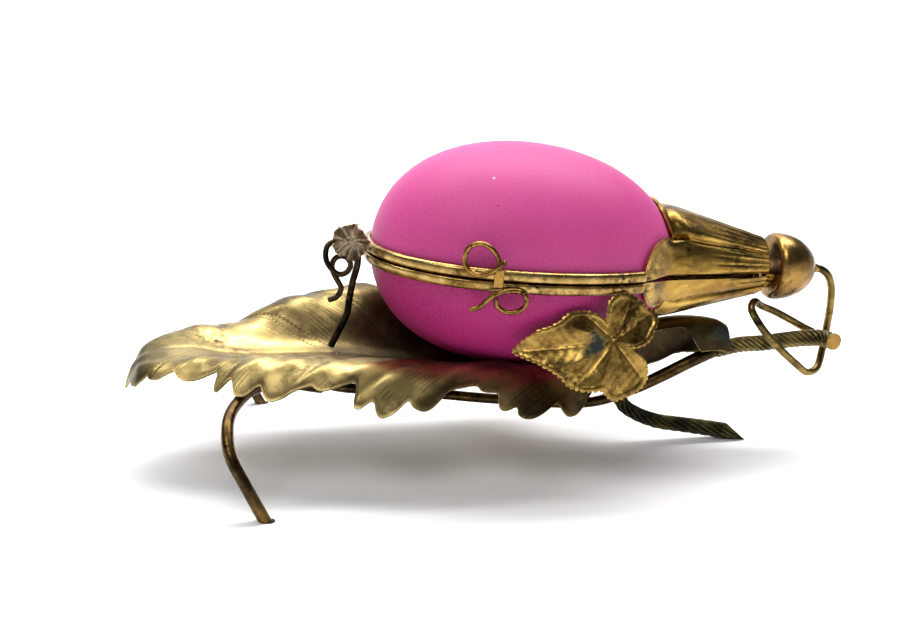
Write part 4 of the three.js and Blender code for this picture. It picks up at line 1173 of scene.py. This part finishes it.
# %% Floor
FLOOR_FRONT, FLOOR_BACK, FLOOR_HALF = -0.75, 1.1, 1.3
SWEEP_RADIUS, WALL_TOP = 0.5, 2.2
paper, paper_tree, _ = start_material("white_paper_sweep")
finish_material(paper, paper_tree, Base_Color=colour("#F4F4F5"), Roughness=0.9)
sweep = bmesh.new()
section = [(FLOOR_FRONT, 0.0), (FLOOR_BACK, 0.0)]
section += [(FLOOR_BACK + SWEEP_RADIUS * sin(t), SWEEP_RADIUS - SWEEP_RADIUS * cos(t))
            for t in np.linspace(0.1, pi / 2, 12)]
section += [(FLOOR_BACK + SWEEP_RADIUS, WALL_TOP)]
left, right = ([sweep.verts.new((x, y, z)) for y, z in section]
               for x in (-FLOOR_HALF, FLOOR_HALF))
for a, b, c, d in zip(left, right, right[1:], left[1:]):
    sweep.faces.new((a, b, c, d))
floor_mesh = bpy.data.meshes.new("paper_sweep")
sweep.to_mesh(floor_mesh)
sweep.free()
floor_mesh.shade_smooth()
floor_mesh.materials.append(paper)
floor = bpy.data.objects.new("paper_sweep", floor_mesh)
bpy.context.scene.collection.objects.link(floor)
print("floor", FLOOR_BACK - FLOOR_FRONT, "m deep")

# %% Lights
def softbox(name, place, aim, size, power):
    light = bpy.data.lights.new(name, "AREA")
    light.shape = "RECTANGLE"
    light.size, light.size_y = size
    light.energy = power
    lamp = bpy.data.objects.new(name, light)
    lamp.location = place
    lamp.rotation_euler = (Vector(aim) - Vector(place)).to_track_quat("-Z", "Y").to_euler()
    bpy.context.scene.collection.objects.link(lamp)
    print(name, power, "W")


softbox("overhead_softbox", (0.12, 0.30, 0.80), (0, 0, 0.05), (0.9, 0.7), 6.2)
softbox("front_fill", (-0.35, -0.55, 0.95), (0, 0, 0.05), (0.7, 0.5), 4.5)
softbox("backdrop_light", (0, 0.45, 1.4), (0, 1.2, 0.0), (2.6, 0.4), 38)
world = bpy.data.worlds.new("studio_room")
world.use_nodes = True
room = world.node_tree
room.nodes.clear()
height = add(room, "SeparateXYZ", [add(room, "TexCoord").outputs["Generated"]]).outputs["Z"]
# White paper stands low round the table, and the room above it is dim.
glow = add(room, "MapRange", [height, 0.12, 0.3, 0.85, 0.13])
backing = add(room, "Background", {"Color": colour("#F4F5F7"), "Strength": glow})
add(room, "OutputWorld", {"Surface": backing})
bpy.context.scene.world = world
bpy.context.scene.view_settings.view_transform = "Standard"

# %% Camera
AZIMUTH, PITCH, ROLL = radians(-10.5), radians(15.86), radians(2.0)
DISTANCE, HEIGHT = 0.3517, 0.1453
IMAGE_WIDTH_PX, FOCAL_PX, SENSOR_MM = 900, 1120, 36
ahead = Vector((-sin(AZIMUTH) * cos(PITCH), cos(AZIMUTH) * cos(PITCH), -sin(PITCH)))
level = Vector((cos(AZIMUTH), sin(AZIMUTH), 0))
upright = level.cross(ahead)
right_axis = cos(ROLL) * level + sin(ROLL) * upright
up_axis = -sin(ROLL) * level + cos(ROLL) * upright
camera_data = bpy.data.cameras.new("camera")
camera_data.sensor_width = SENSOR_MM
camera_data.lens = SENSOR_MM * FOCAL_PX / IMAGE_WIDTH_PX
camera_data.clip_start = 0.01
camera = bpy.data.objects.new("camera", camera_data)
place = Matrix((right_axis, up_axis, -ahead)).transposed().to_4x4()
place.translation = (sin(AZIMUTH) * DISTANCE + SHIFT_X / 1000, -cos(AZIMUTH) * DISTANCE, HEIGHT)
camera.matrix_world = place
bpy.context.scene.collection.objects.link(camera)
bpy.context.scene.camera = camera
print("lens", round(camera_data.lens, 1), "mm")
